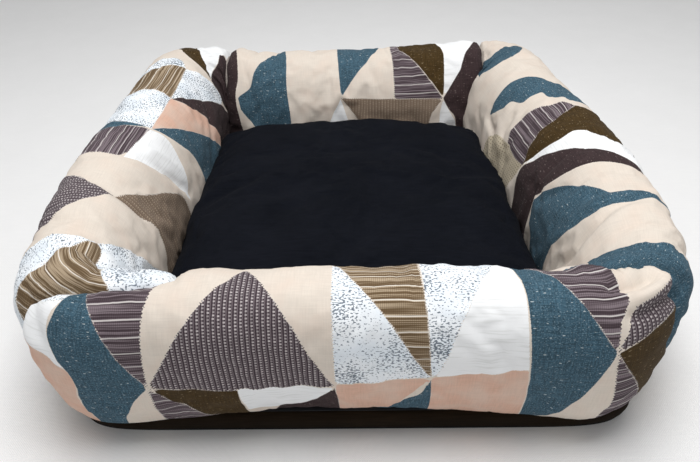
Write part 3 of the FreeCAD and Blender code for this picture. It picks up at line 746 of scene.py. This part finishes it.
def paint(piece, side, points):
    """Stores, for each kind of patch, how far inside it each vertex lies."""
    kinds = {kind: np.full(len(points), -FAR) for kind in CLASSES}
    for kind, corners in PRINT[side]:
        inside = inside_by(outline_points(corners), points)
        for other in CLASSES:
            if other != kind:
                kinds[other] = np.minimum(kinds[other], -inside)
        kinds[kind] = np.maximum(kinds[kind], inside)
    for kind, inside in kinds.items():
        layer = piece.data.attributes.new(name=kind, type="FLOAT", domain="POINT")
        layer.data.foreach_set("value", inside.astype(np.float32))


# ---- materials ----
class Nodes:
    """A material under construction. Every method returns a socket, or takes sockets or plain values."""

    def __init__(self, name, roughness=0.9):
        self.material = bpy.data.materials.new(name)
        self.material.use_nodes = True
        self.tree = self.material.node_tree
        self.shader = self.tree.nodes["Principled BSDF"]
        self.surface("Roughness", roughness)

    def surface(self, name, value):
        """Sets one input of the surface."""
        self.feed(self.shader.inputs[name], value)

    def make(self, kind, inputs=(), **settings):
        node = self.tree.nodes.new(kind)
        for name, value in settings.items():
            setattr(node, name, value)
        for slot, value in inputs:
            self.feed(node.inputs[slot], value)
        return node

    def feed(self, socket, value):
        if isinstance(value, bpy.types.NodeSocket):
            self.tree.links.new(value, socket)
        elif isinstance(value, tuple) and len(value) == 3 and socket.type == "RGBA":
            socket.default_value = (*value, 1)
        else:
            socket.default_value = value

    def math(self, operation, *values):
        return self.make("ShaderNodeMath", enumerate(values), operation=operation).outputs[0]

    def times(self, first, second):
        return self.math("MULTIPLY", first, second)

    def mix(self, share, first, second):
        node = self.make("ShaderNodeMix", data_type="RGBA")
        self.feed(node.inputs["Factor"], share)
        self.feed(node.inputs[6], first)
        self.feed(node.inputs[7], second)
        return node.outputs[2]

    def tint(self, share, strength, base, other):
        """Mixes another colour into a base, by strength at most."""
        return self.mix(self.times(share, strength), base, other)

    def place(self):
        return self.make("ShaderNodeTexCoord").outputs["Object"]

    def stretch(self, vector, scale):
        return self.make("ShaderNodeVectorMath", [(0, vector), (1, scale)], operation="MULTIPLY").outputs[0]

    def noise(self, vector, scale, detail=2.0):
        inputs = [("Vector", vector), ("Scale", scale), ("Detail", detail), ("Roughness", 0.5)]
        return self.make("ShaderNodeTexNoise", inputs).outputs[0]

    def split(self, vector):
        return self.make("ShaderNodeSeparateXYZ", [(0, vector)]).outputs

    def ramp(self, value, low, high):
        """0 below low, 1 above high, smooth between."""
        inputs = [("Value", value), ("From Min", low), ("From Max", high)]
        return self.make("ShaderNodeMapRange", inputs, interpolation_type="SMOOTHSTEP").outputs[0]

    def wave(self, value, period, phase=0.0):
        """A sine of a length in metres."""
        return self.math("SINE", self.math("MULTIPLY_ADD", value, 2 * math.pi / period, phase))

    def weave(self, u, v, pitch):
        """Over and under of a plain weave."""
        return self.times(self.wave(u, pitch), self.wave(v, pitch))

    def bump(self, height, distance, strength=1.0):
        inputs = [("Strength", strength), ("Distance", distance), ("Height", height)]
        self.surface("Normal", self.make("ShaderNodeBump", inputs).outputs[0])


def dimmed(colour, share):
    return tuple(channel * share for channel in colour)


BEIGE = (0.725, 0.65, 0.57)
PEACH_COLOUR = (0.70, 0.45, 0.345)
TEAL_COLOUR = (0.042, 0.088, 0.123)
WHITE_COLOUR = (0.90, 0.91, 0.92)
OLIVE_COLOUR = (0.052, 0.031, 0.010)
PLUM_COLOUR = (0.042, 0.027, 0.028)
PALE_THREAD = (0.72, 0.68, 0.66)
# Flecks: (colour, how many per metre along and across, noise where they begin and are full, strength).
TEAL_FLECKS = [
    ((0.20, 0.29, 0.35), (700, 1100), (0.56, 0.70), 0.7),
    ((0.015, 0.035, 0.050), (600, 500), (0.58, 0.70), 0.6),
    ((0.50, 0.56, 0.58), (210, 560), (0.69, 0.73), 0.9),
]
OLIVE_FLECKS = [((0.30, 0.23, 0.14), (260, 640), (0.67, 0.72), 0.8)]
PLUM_FLECKS = [((0.26, 0.21, 0.20), (260, 640), (0.67, 0.72), 0.7)]
TOOTHED = ("herringbone", "stripes", "speckle", "hatch", "ochre")  # patches whose edge steps with the weave
EDGE = 0.0001  # half the width over which one patch gives way to the next
EDGE_WEAR = 0.0005  # how far the pale wear along an edge reaches


class PrintedCloth(Nodes):
    """The bolsters' cloth: a beige ground, and a method for each kind of paint."""

    def __init__(self):
        super().__init__("printed_cloth")
        self.at = self.make("ShaderNodeUVMap", uv_map="cloth").outputs[0]
        self.u, self.v, _ = self.split(self.at)
        self.cloudy = self.noise(self.at, 38, 3)
        both_ways = self.math("ADD", self.fibres((60, 900)), self.fibres((900, 60)))
        self.heather = self.times(both_ways, 0.5)

    def fibres(self, scale, detail=2):
        """Noise drawn out along the cloth or across it."""
        return self.noise(self.stretch(self.at, (*scale, 0)), 1, detail)

    def heathered(self, colour, dark, light, span=(0.35, 0.65)):
        return self.mix(self.ramp(self.heather, *span), dimmed(colour, dark), dimmed(colour, light))

    def flecked(self, base, flecks):
        for colour, scale, span, strength in flecks:
            base = self.tint(self.ramp(self.fibres(scale, 1), *span), strength, base, colour)
        return base

    def ground(self):
        beige = self.heathered(BEIGE, 0.94, 1.04, (0.3, 0.7))
        return self.tint(self.ramp(self.cloudy, 0.4, 0.75), 0.3, beige, (0.74, 0.58, 0.48))

    def peach(self):
        peach = self.heathered(PEACH_COLOUR, 0.92, 1.05)
        return self.tint(self.ramp(self.cloudy, 0.35, 0.7), 0.35, peach, BEIGE)

    def teal(self):
        return self.flecked(self.heathered(TEAL_COLOUR, 0.72, 1.45), TEAL_FLECKS)

    def olive(self):
        return self.flecked(self.heathered(OLIVE_COLOUR, 0.75, 1.35), OLIVE_FLECKS)

    def plum(self):
        return self.flecked(self.heathered(PLUM_COLOUR, 0.8, 1.3), PLUM_FLECKS)

    def white(self):
        return self.mix(self.ramp(self.fibres((30, 520)), 0.52, 0.66), WHITE_COLOUR, (0.80, 0.81, 0.81))

    def speckle(self):
        """A cool white with short dark dashes that come in crowds."""
        base = self.mix(self.ramp(self.cloudy, 0.3, 0.7), (0.80, 0.86, 0.92), (0.92, 0.95, 0.98))
        crowd = self.noise(self.at, 26, 2)
        dash = self.math("MULTIPLY_ADD", crowd, 0.5, self.fibres((430, 720), 1))
        return self.tint(self.ramp(dash, 0.81, 0.85), 0.9, base, (0.10, 0.13, 0.17))

    def striped(self, dark, light, groove, groove_share, line, line_share):
        """Irregular pale stripes along the cloth, with fine ribs across them."""
        wander = self.math("MULTIPLY_ADD", self.fibres((14, 5), 1), 0.0035, self.v)
        beat = self.math("ADD", self.wave(wander, 0.0066, 0.6), self.wave(wander, 0.0043, 2.1))
        base = self.mix(self.ramp(self.fibres((9, 620), 1), 0.44, 0.62), dark, light)
        base = self.tint(self.ramp(self.wave(self.u, 0.0016), -0.2, 0.9), groove_share, base, groove)
        return self.tint(self.ramp(beat, 1.42, 1.64), line_share, base, line)

    def stripes(self):
        groove = (0.02, 0.012, 0.015)
        return self.striped((0.066, 0.047, 0.055), (0.235, 0.19, 0.21), groove, 0.30, PALE_THREAD, 0.78)

    def ochre(self):
        groove, line = (0.07, 0.042, 0.02), (0.80, 0.74, 0.66)
        return self.striped((0.15, 0.098, 0.052), (0.46, 0.36, 0.25), groove, 0.35, line, 0.92)

    def beaded(self, dark, light, thin_share, bead_colour, bead_share):
        """Ribs of beads across the cloth, leaning one way and the other by turns."""
        lean = self.times(self.math("SIGN", self.wave(self.u, 0.0084)), 0.8)
        bead = self.math("SINE", self.math("ADD", self.times(self.v, 2 * math.pi / 0.0027), lean))
        beads = self.times(self.ramp(self.wave(self.u, 0.0042), -0.15, 0.65), self.ramp(bead, -0.35, 0.35))
        bright = self.ramp(self.fibres((150, 300), 1), 0.30, 0.62)
        beads = self.times(beads, self.math("MULTIPLY_ADD", bright, 0.6, 0.4))
        base = self.tint(self.ramp(self.wave(self.u, 0.0021), 0.2, 0.9), thin_share, dark, light)
        return self.tint(beads, bead_share, base, bead_colour)

    def herringbone(self):
        return self.beaded((0.055, 0.040, 0.048), (0.30, 0.25, 0.265), 0.5, (0.58, 0.53, 0.53), 0.9)

    def hatch(self):
        return self.beaded((0.18, 0.13, 0.095), (0.36, 0.28, 0.215), 0.4, (0.50, 0.41, 0.31), 0.6)

    def tan(self):
        rows = self.ramp(self.wave(self.v, 0.0036), -0.1, 0.5)
        dots = self.times(self.ramp(self.wave(self.u, 0.0040), -0.1, 0.5), rows)
        return self.tint(dots, 0.75, (0.56, 0.49, 0.37), (0.15, 0.115, 0.08))

    def patched(self):
        """The patches laid over the ground, with uneven edges that are worn pale here and there."""
        jagged = self.math("MULTIPLY_ADD", self.noise(self.at, 1400, 1), 0.0016, -0.0008)
        toothed = self.times(self.weave(self.u, self.v, 0.0030), 0.0009)
        colour, border = self.ground(), None
        for kind in CLASSES:
            inside = self.make("ShaderNodeAttribute", attribute_name=kind).outputs["Fac"]
            edge = self.math("ADD", inside, toothed if kind in TOOTHED else jagged)
            colour = self.mix(self.ramp(edge, -EDGE, EDGE), colour, getattr(self, kind)())
            near = self.math("SUBTRACT", 1.0, self.ramp(self.math("ABSOLUTE", edge), EDGE, EDGE_WEAR))
            border = near if border is None else self.math("MAXIMUM", border, near)
        worn = self.times(border, self.ramp(self.cloudy, 0.42, 0.6))
        return self.tint(worn, 0.32, colour, (0.80, 0.78, 0.75))


def printed_cloth():
    nodes = PrintedCloth()
    nodes.surface("Base Color", nodes.patched())
    fine = nodes.weave(nodes.u, nodes.v, 0.0011)
    nodes.bump(nodes.math("MULTIPLY_ADD", nodes.heather, 1.5, fine), 0.00022, 0.55)
    nodes.surface("Sheen Weight", 0.03)
    nodes.surface("Sheen Roughness", 0.5)
    nodes.surface("Specular IOR Level", 0.12)
    return nodes.material


def woven(name, dark, light, pitch, roughness=0.9, sheen=0.1, depth=0.0002):
    """A plain cloth: threads over and under, with slubs and a slow change of shade."""
    nodes = Nodes(name, roughness)
    place = nodes.place()
    x, y, z = nodes.split(place)
    threads = nodes.weave(x, nodes.math("ADD", y, z), pitch)
    slub = nodes.noise(nodes.stretch(place, (40, 700, 700)), 1, 2)
    cloudy = nodes.times(nodes.noise(place, 14, 3), 0.5)
    share = nodes.math("MULTIPLY_ADD", threads, 0.18, nodes.math("MULTIPLY_ADD", slub, 0.7, cloudy))
    nodes.surface("Base Color", nodes.mix(nodes.ramp(share, 0.3, 0.95), dark, light))
    nodes.bump(nodes.math("ADD", threads, slub), depth, 0.6)
    nodes.surface("Sheen Weight", sheen)
    nodes.surface("Specular IOR Level", 0.05)
    return nodes.material


def dress(piece, body, slot, material, *nodes, fill=None):
    """What every piece has: a body, a finish and the CAD nodes that it stands for; fill is not used."""
    piece.data.materials.clear()
    piece.data.materials.append(material)
    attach(piece, body)
    if nodes:
        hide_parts(*nodes)


PRINTED = printed_cloth()
for side in ORIGINS:
    covered = (f"{side}_bolster_cover", f"{side}_bolster_filling")
    dress(bolster_mesh(side), "bed", "printed_cloth", PRINTED, *covered, fill=0.8)

# ---- the corner seams: a rolled edge of cloth at the bottom of each crease ----
SEAM_ROLL = 0.0016
SEAM_DEPTH = PINCH + SEAM_ROLL * 0.6  # how deep the roll's middle lies under the unpinched cloth
SEAM_SPAN = (-0.115, 0.135)  # from the foot of the inner face, over the top, to the foot of the outer one
SEAM_STEPS = 90


def tube(name, line, radius, sides=8):
    """A round tube along a line of points."""
    line = np.array(line)
    heading = np.gradient(line, axis=0)
    heading /= np.linalg.norm(heading, axis=1, keepdims=True)
    vertices = []
    side = np.cross(heading[0], (0.3, 0.5, 0.8))
    for point, ahead in zip(line, heading):
        side = side - ahead * (side @ ahead)
        side /= np.linalg.norm(side)
        other = np.cross(ahead, side)
        for n in range(sides):
            turn_by = 2 * math.pi * n / sides
            vertices.append(point + radius * (side * math.cos(turn_by) + other * math.sin(turn_by)))
    return mesh_piece(name, vertices, banded(len(line), sides) + end_faces(len(line), sides))


def seam_line(seam):
    """Points under the crease, from the foot of the inner face to the foot of the outer one."""
    corners = seam_corners(seam)
    line = []
    for around in np.linspace(*SEAM_SPAN, SEAM_STEPS):
        along = float(np.interp(around, [c[1] for c in corners], [c[0] for c in corners]))
        columns = cloth_section(along, SEAM_DEPTH).T
        line.append([np.interp(around, GIRTH, column) for column in columns])
    return line


WEB = woven("web_cloth", (0.24, 0.21, 0.19), (0.46, 0.41, 0.37), 0.0012)
for seam in SEAMS:
    dress(tube(f"{seam}_seam", seam_line(seam), SEAM_ROLL), "bed", "web_cloth", WEB, f"corner_web_{seam}")

# ---- the cushion ----
PANEL_LOW, PANEL_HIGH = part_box("cushion_top_panel")
PLACKET_LOW, PLACKET_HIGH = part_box("zip_placket")
CUSHION_X = PANEL_HIGH[0] + 0.001
CUSHION_BACK = PANEL_HIGH[1] + 0.006
CUSHION_FRONT = -PANEL_HIGH[1] - 0.004
SEAM_HEIGHT = PANEL_LOW[2]
CUSHION_TOP = PANEL_HIGH[2] + 0.007
CUSHION_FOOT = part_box("cushion_bottom_panel")[0][2] + 0.0006
CROWN = 0.27  # power of the crown's rise from the edge: less is fuller
CORNER_PULL = 0.030  # how much a side draws in towards its corners
CUSHION_BOW = 0.55  # share of the walls' bow that the cushion's sides follow
CUSHION_STEP = 0.004
CUSHION_LUMP, CUSHION_LUMP_SPAN = 0.0022, 0.075
CUSHION_RUMPLE, CUSHION_RUMPLE_SPAN = 0.0007, 0.022
CUSHION_HELD = 0.001  # the simulation holds what lies lower than this above the seam
RIM_STEPS = 80  # points of the edge seam on each side, both corners counted
RIM_ROLL = 0.0011
FOLD_X = PLACKET_HIGH[0] + 0.0004
FOLD_Y = (PLACKET_LOW[1] - 0.0004, PLACKET_HIGH[1] + 0.0004)
FOLD_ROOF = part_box("zip_slider")[1][2] + 0.0012
FOLD_WALL = 0.0008
CUSHION_FOLDS = [  # (points in metres, height, half width)
    ([(-0.11, 0.172), (0.00, 0.180), (0.12, 0.170)], 0.0075, 0.036),
    ([(-0.17, 0.19), (-0.12, 0.12), (-0.08, 0.07)], 0.0022, 0.016),
    ([(-0.18, -0.02), (-0.10, 0.03)], -0.0016, 0.014),
    ([(0.17, 0.18), (0.11, 0.10)], 0.0022, 0.014),
    ([(0.18, 0.05), (0.12, 0.02)], -0.0018, 0.012),
    ([(0.17, -0.15), (0.10, -0.09)], 0.0018, 0.016),
    ([(-0.05, 0.20), (-0.02, 0.14), (0.03, 0.11)], 0.0018, 0.013),
    ([(-0.14, 0.15), (-0.02, 0.11), (0.05, 0.12)], -0.0014, 0.012),
    ([(-0.17, -0.16), (-0.10, -0.10)], 0.0016, 0.016),
]


def lattice(low, high, marks):
    """Evenly spaced values from low to high, and the marks among them."""
    even = np.linspace(low, high, round((high - low) / CUSHION_STEP) + 1)
    clear = [value for value in even if all(abs(value - mark) > FOLD_WALL for mark in marks)]
    return np.array(sorted(clear + list(marks)))


def cushion_plan(x, y):
    """Where a point of the flat rectangle lies once the cushion is stuffed."""
    half = (CUSHION_BACK - CUSHION_FRONT) / 2
    middle = (CUSHION_BACK + CUSHION_FRONT) / 2
    across, down = x / CUSHION_X, (y - middle) / half
    places, offsets = zip(*BOW["left" if x < 0 else "right"])
    bow = max(float(np.interp(y, places, offsets)), 0.0) * CUSHION_BOW * abs(across) ** 3
    x = x * (1 - CORNER_PULL * down**4) + math.copysign(bow, x)
    y = middle + (y - middle) * (1 - CORNER_PULL * across**4)
    return x, y, across, down


def cushion_top(x, y):
    """A point of the top panel: crowned, with the listed folds and the filling's lumps."""
    x, y, across, down = cushion_plan(x, y)
    rise = ((1 - abs(across) ** 2.6) * (1 - abs(down) ** 2.6)) ** CROWN
    high = SEAM_HEIGHT + (CUSHION_TOP - SEAM_HEIGHT) * rise
    spot = np.array((x, y))
    for corners, height, width in CUSHION_FOLDS:
        away = float(distance_to_line(spot, corners))
        high += height * math.exp(-((away / width) ** 2)) * rise
    lumps = CUSHION_LUMP * rough(x, y, 0.4, CUSHION_LUMP_SPAN)
    high += (lumps + CUSHION_RUMPLE * rough(x, y, 1.4, CUSHION_RUMPLE_SPAN)) * rise
    return x, y, high


def cushion_bottom(x, y):
    """A point of the bottom panel: flat, with a recess for the zip."""
    if abs(x) <= FOLD_X and FOLD_Y[0] <= y <= FOLD_Y[1]:
        return x, y, FOLD_ROOF
    x, y, across, down = cushion_plan(x, y)
    foot = ((1 - abs(across) ** 6) * (1 - abs(down) ** 6)) ** 0.6
    return x, y, SEAM_HEIGHT - (SEAM_HEIGHT - CUSHION_FOOT) * min(foot * 1.12, 1.0)


def cushion_mesh():
    """Two panels on one grid, which share the vertices of the rim."""
    xs = lattice(-CUSHION_X, CUSHION_X, (-FOLD_X - FOLD_WALL, -FOLD_X, FOLD_X, FOLD_X + FOLD_WALL))
    ys = lattice(CUSHION_FRONT, CUSHION_BACK, (FOLD_Y[0] - FOLD_WALL, *FOLD_Y, FOLD_Y[1] + FOLD_WALL))
    wide, deep = len(xs), len(ys)
    vertices = [cushion_top(x, y) for y in ys for x in xs]
    below = []
    for i, y in enumerate(ys):
        for j, x in enumerate(xs):
            if i in (0, deep - 1) or j in (0, wide - 1):
                below.append(i * wide + j)
            else:
                below.append(len(vertices))
                vertices.append(cushion_bottom(x, y))
    faces = []
    for i in range(deep - 1):
        for j in range(wide - 1):
            a, b, c, d = i * wide + j, i * wide + j + 1, (i + 1) * wide + j + 1, (i + 1) * wide + j
            faces.append((a, b, c, d))
            faces.append((below[d], below[c], below[b], below[a]))
    piece = mesh_piece("cushion", vertices, faces)
    held = [1.0 if z < SEAM_HEIGHT + CUSHION_HELD else 0.0 for _, _, z in vertices]
    settle(piece, held, WRINKLES["cushion"], CUSHION_CAP)
    return piece


def cushion_rim():
    """The line of the cushion's seam, once round."""
    left, right, front, back = -CUSHION_X, CUSHION_X, CUSHION_FRONT, CUSHION_BACK
    corners = np.array([(left, front), (right, front), (right, back), (left, back)])
    line = []
    for start, end in zip(corners, np.roll(corners, -1, axis=0)):
        for share in np.linspace(0, 1, RIM_STEPS)[:-1]:
            x, y, _, _ = cushion_plan(*(start + (end - start) * share))
            line.append((x, y, SEAM_HEIGHT))
    return line + line[:1]


BLACK, SOFT_BLACK = (0.0030, 0.0038, 0.0062), (0.0080, 0.0092, 0.0140)
CUSHION_CLOTH = woven("cushion_cloth", BLACK, SOFT_BLACK, 0.0013, 0.95, 0.01, 0.00025)
CUSHION_NODES = ("cushion_top_panel", "cushion_bottom_panel", "cushion_filling")
dress(cushion_mesh(), "cushion", "cushion_cloth", CUSHION_CLOTH, *CUSHION_NODES, fill=0.7)
dress(tube("cushion_edge_seam", cushion_rim(), RIM_ROLL), "cushion", "cushion_cloth", CUSHION_CLOTH)

# ---- the base ----
_, (BASE_X, BASE_Y, _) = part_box("base_band")
BASE_RING = 240  # points round the base
BASE_POWER = 0.16  # roundness of its corners: 1 is an ellipse, less is squarer
BASE_RIPPLE = 0.0022
# (inset, height) of each ring of a piece, from the bottom up
SIDE_PROFILE = [
    (0.0030, 0.0012), (0.0012, 0.0022), (0.0, 0.0050), (-0.0012, 0.0100),
    (-0.0014, 0.0145), (-0.0006, 0.0190), (0.0012, 0.0222), (0.0030, 0.0236),
]
UNDERSIDE_PROFILE = [(0.0045, 0.0), (0.0016, 0.0002), (0.0012, 0.0009), (0.0040, 0.0014)]
LINING_PROFILE = [(0.0040, 0.0236), (0.0022, 0.0240), (0.0022, 0.0246), (0.0050, 0.0249)]


def rounded_ring(inset, height, ripple):
    """A rounded rectangle round the base, its side swaying in and out by ripple."""
    ring = []
    x_half, y_half = BASE_X - inset, BASE_Y - inset
    for k in range(BASE_RING):
        angle = 2 * math.pi * k / BASE_RING
        x = float(signed_power(math.cos(angle), BASE_POWER)) * x_half
        y = float(signed_power(math.sin(angle), BASE_POWER)) * y_half
        sway = ripple * rough(x, y, height * 3 + 5, 0.05)
        ring.append((x * (1 + sway / x_half), y * (1 + sway / y_half), height))
    return ring


def stacked(name, profile, ripple=0.0):
    """A closed solid from rounded rings, its two ends filled to their middles."""
    rings = [rounded_ring(inset, height, ripple) for inset, height in profile]
    vertices = [point for ring in rings for point in ring]
    faces = banded(len(rings), BASE_RING)
    for number, forward in ((0, False), (len(rings) - 1, True)):
        centre = len(vertices)
        vertices.append(tuple(np.mean(rings[number], axis=0)))
        for n in range(BASE_RING):
            a, b = number * BASE_RING + n, number * BASE_RING + (n + 1) % BASE_RING
            faces.append((a, b, centre) if forward else (b, a, centre))
    return mesh_piece(name, vertices, faces)


BAND = woven("band_cloth", (0.009, 0.0055, 0.003), (0.022, 0.014, 0.008), 0.0014, 0.92, 0.02)
BOTTOM = woven("bottom_cloth", (0.012, 0.012, 0.013), (0.030, 0.030, 0.031), 0.0030, 0.8, 0.05)
LINING = woven("lining_cloth", (0.016, 0.017, 0.020), (0.034, 0.036, 0.040), 0.0014)
BASE_SIDE = stacked("base_side", SIDE_PROFILE, BASE_RIPPLE)
dress(BASE_SIDE, "bed", "band_cloth", BAND, "base_band", "base_pad", fill=0.9)
dress(stacked("base_underside", UNDERSIDE_PROFILE), "bed", "bottom_cloth", BOTTOM, "base_bottom")
dress(stacked("well_lining", LINING_PROFILE), "bed", "lining_cloth", LINING, "base_lining")


# ---- the zip: CAD nodes with better materials ----
def metal(name, colour, roughness):
    """Brushed metal, worn darker in places."""
    nodes = Nodes(name, roughness)
    place = nodes.place()
    brushed = nodes.noise(nodes.stretch(place, (300, 4000, 4000)), 1, 3)
    worn = nodes.noise(place, 900, 3)
    nodes.surface("Base Color", nodes.mix(nodes.ramp(worn, 0.45, 0.65), colour, dimmed(colour, 0.6)))
    nodes.surface("Roughness", nodes.math("MULTIPLY_ADD", brushed, 0.25, roughness - 0.1))
    nodes.bump(brushed, 0.00003, 0.4)
    nodes.surface("Metallic", 1.0)
    return nodes.material


def coil_nylon():
    """Nylon coil: turns one after another along the chain, with painted shade in the gaps between them."""
    nodes = Nodes("zip_coil", 0.45)
    x, y, _ = nodes.split(nodes.place())
    turns = nodes.wave(nodes.math("ADD", x, nodes.times(y, 0.25)), 0.0012)
    # the gap colour is painted shade: the gaps between the turns are darker only because shade falls in them
    shaded_gap, turn_colour = (0.004, 0.004, 0.005), (0.035, 0.036, 0.040)
    nodes.surface("Base Color", nodes.mix(nodes.ramp(turns, -0.7, 0.5), shaded_gap, turn_colour))
    nodes.bump(turns, 0.0004, 0.9)
    return nodes.material


ZIP_TAPE = woven("zip_tape", (0.012, 0.013, 0.015), (0.035, 0.037, 0.042), 0.0008, 0.8, 0.1, 0.0001)
ZIP_COIL = coil_nylon()
ZIP_METAL = metal("zip_metal", (0.52, 0.50, 0.47), 0.32)
NODE_MATERIALS = {
    "zip_placket": CUSHION_CLOTH,
    "zip_tape_front": ZIP_TAPE,
    "zip_tape_back": ZIP_TAPE,
    "zip_coil_front": ZIP_COIL,
    "zip_coil_back": ZIP_COIL,
    "zip_slider": ZIP_METAL,
    "zip_pull": ZIP_METAL,
    "zip_top_stops": ZIP_METAL,
    "zip_bottom_stop": ZIP_METAL,
}
for node, material in NODE_MATERIALS.items():
    for slot in frame["nodes"][node].material_slots:
        slot.material = material

# ---- camera, floor and light; the camera's numbers come from a fit to the photograph ----
SENSOR = 36
LENS = SENSOR * 34 / 35
CAMERA_PLACE = (0.0095, -0.690, 0.5015)
CAMERA_PITCH, CAMERA_YAW, CAMERA_ROLL = 34.53, -1.15, -1.38
FLOOR_REACH = 6
WORLD_STRENGTH = 0.42


def staged(name, data):
    made = bpy.data.objects.new(name, data)
    bpy.context.scene.collection.objects.link(made)
    return made


def camera():
    data = bpy.data.cameras.new("camera")
    data.lens = LENS
    data.sensor_width = SENSOR
    made = staged("camera", data)
    pitch, yaw, roll = degrees(CAMERA_PITCH), degrees(CAMERA_YAW), degrees(CAMERA_ROLL)
    forward = Vector((math.sin(yaw) * math.cos(pitch), math.cos(yaw) * math.cos(pitch), -math.sin(pitch)))
    right = Vector((math.cos(yaw), -math.sin(yaw), 0))
    level = Matrix((right, right.cross(forward), -forward)).transposed()
    spin = Matrix.Rotation(roll, 3, "Z")
    made.matrix_world = Matrix.Translation(CAMERA_PLACE) @ (level @ spin).to_4x4()
    bpy.context.scene.camera = made


def floor():
    mesh = bpy.data.meshes.new("floor")
    corners = [(x * FLOOR_REACH, y * FLOOR_REACH, 0) for x, y in ((-1, -1), (1, -1), (1, 1), (-1, 1))]
    mesh.from_pydata(corners, [], [(0, 1, 2, 3)])
    mesh.materials.append(woven("floor_paint", (0.84, 0.84, 0.84), (0.88, 0.88, 0.88), 0.002, 0.7, 0.0))
    staged("floor", mesh)


def area_light(name, place, target, size, power):
    data = bpy.data.lights.new(name, "AREA")
    data.size = size
    data.energy = power
    made = staged(name, data)
    made.location = place
    made.rotation_euler = (Vector(target) - Vector(place)).to_track_quat("-Z", "Y").to_euler()


def world():
    made = bpy.data.worlds.new("studio")
    made.use_nodes = True
    background = made.node_tree.nodes["Background"]
    background.inputs["Color"].default_value = (1, 1, 1, 1)
    background.inputs["Strength"].default_value = WORLD_STRENGTH
    bpy.context.scene.world = made


camera()
floor()
world()
area_light("overhead", place=(0.05, -0.22, 1.55), target=(0, 0, 0.1), size=0.9, power=21.5)
bpy.context.scene.view_settings.view_transform = "Standard"
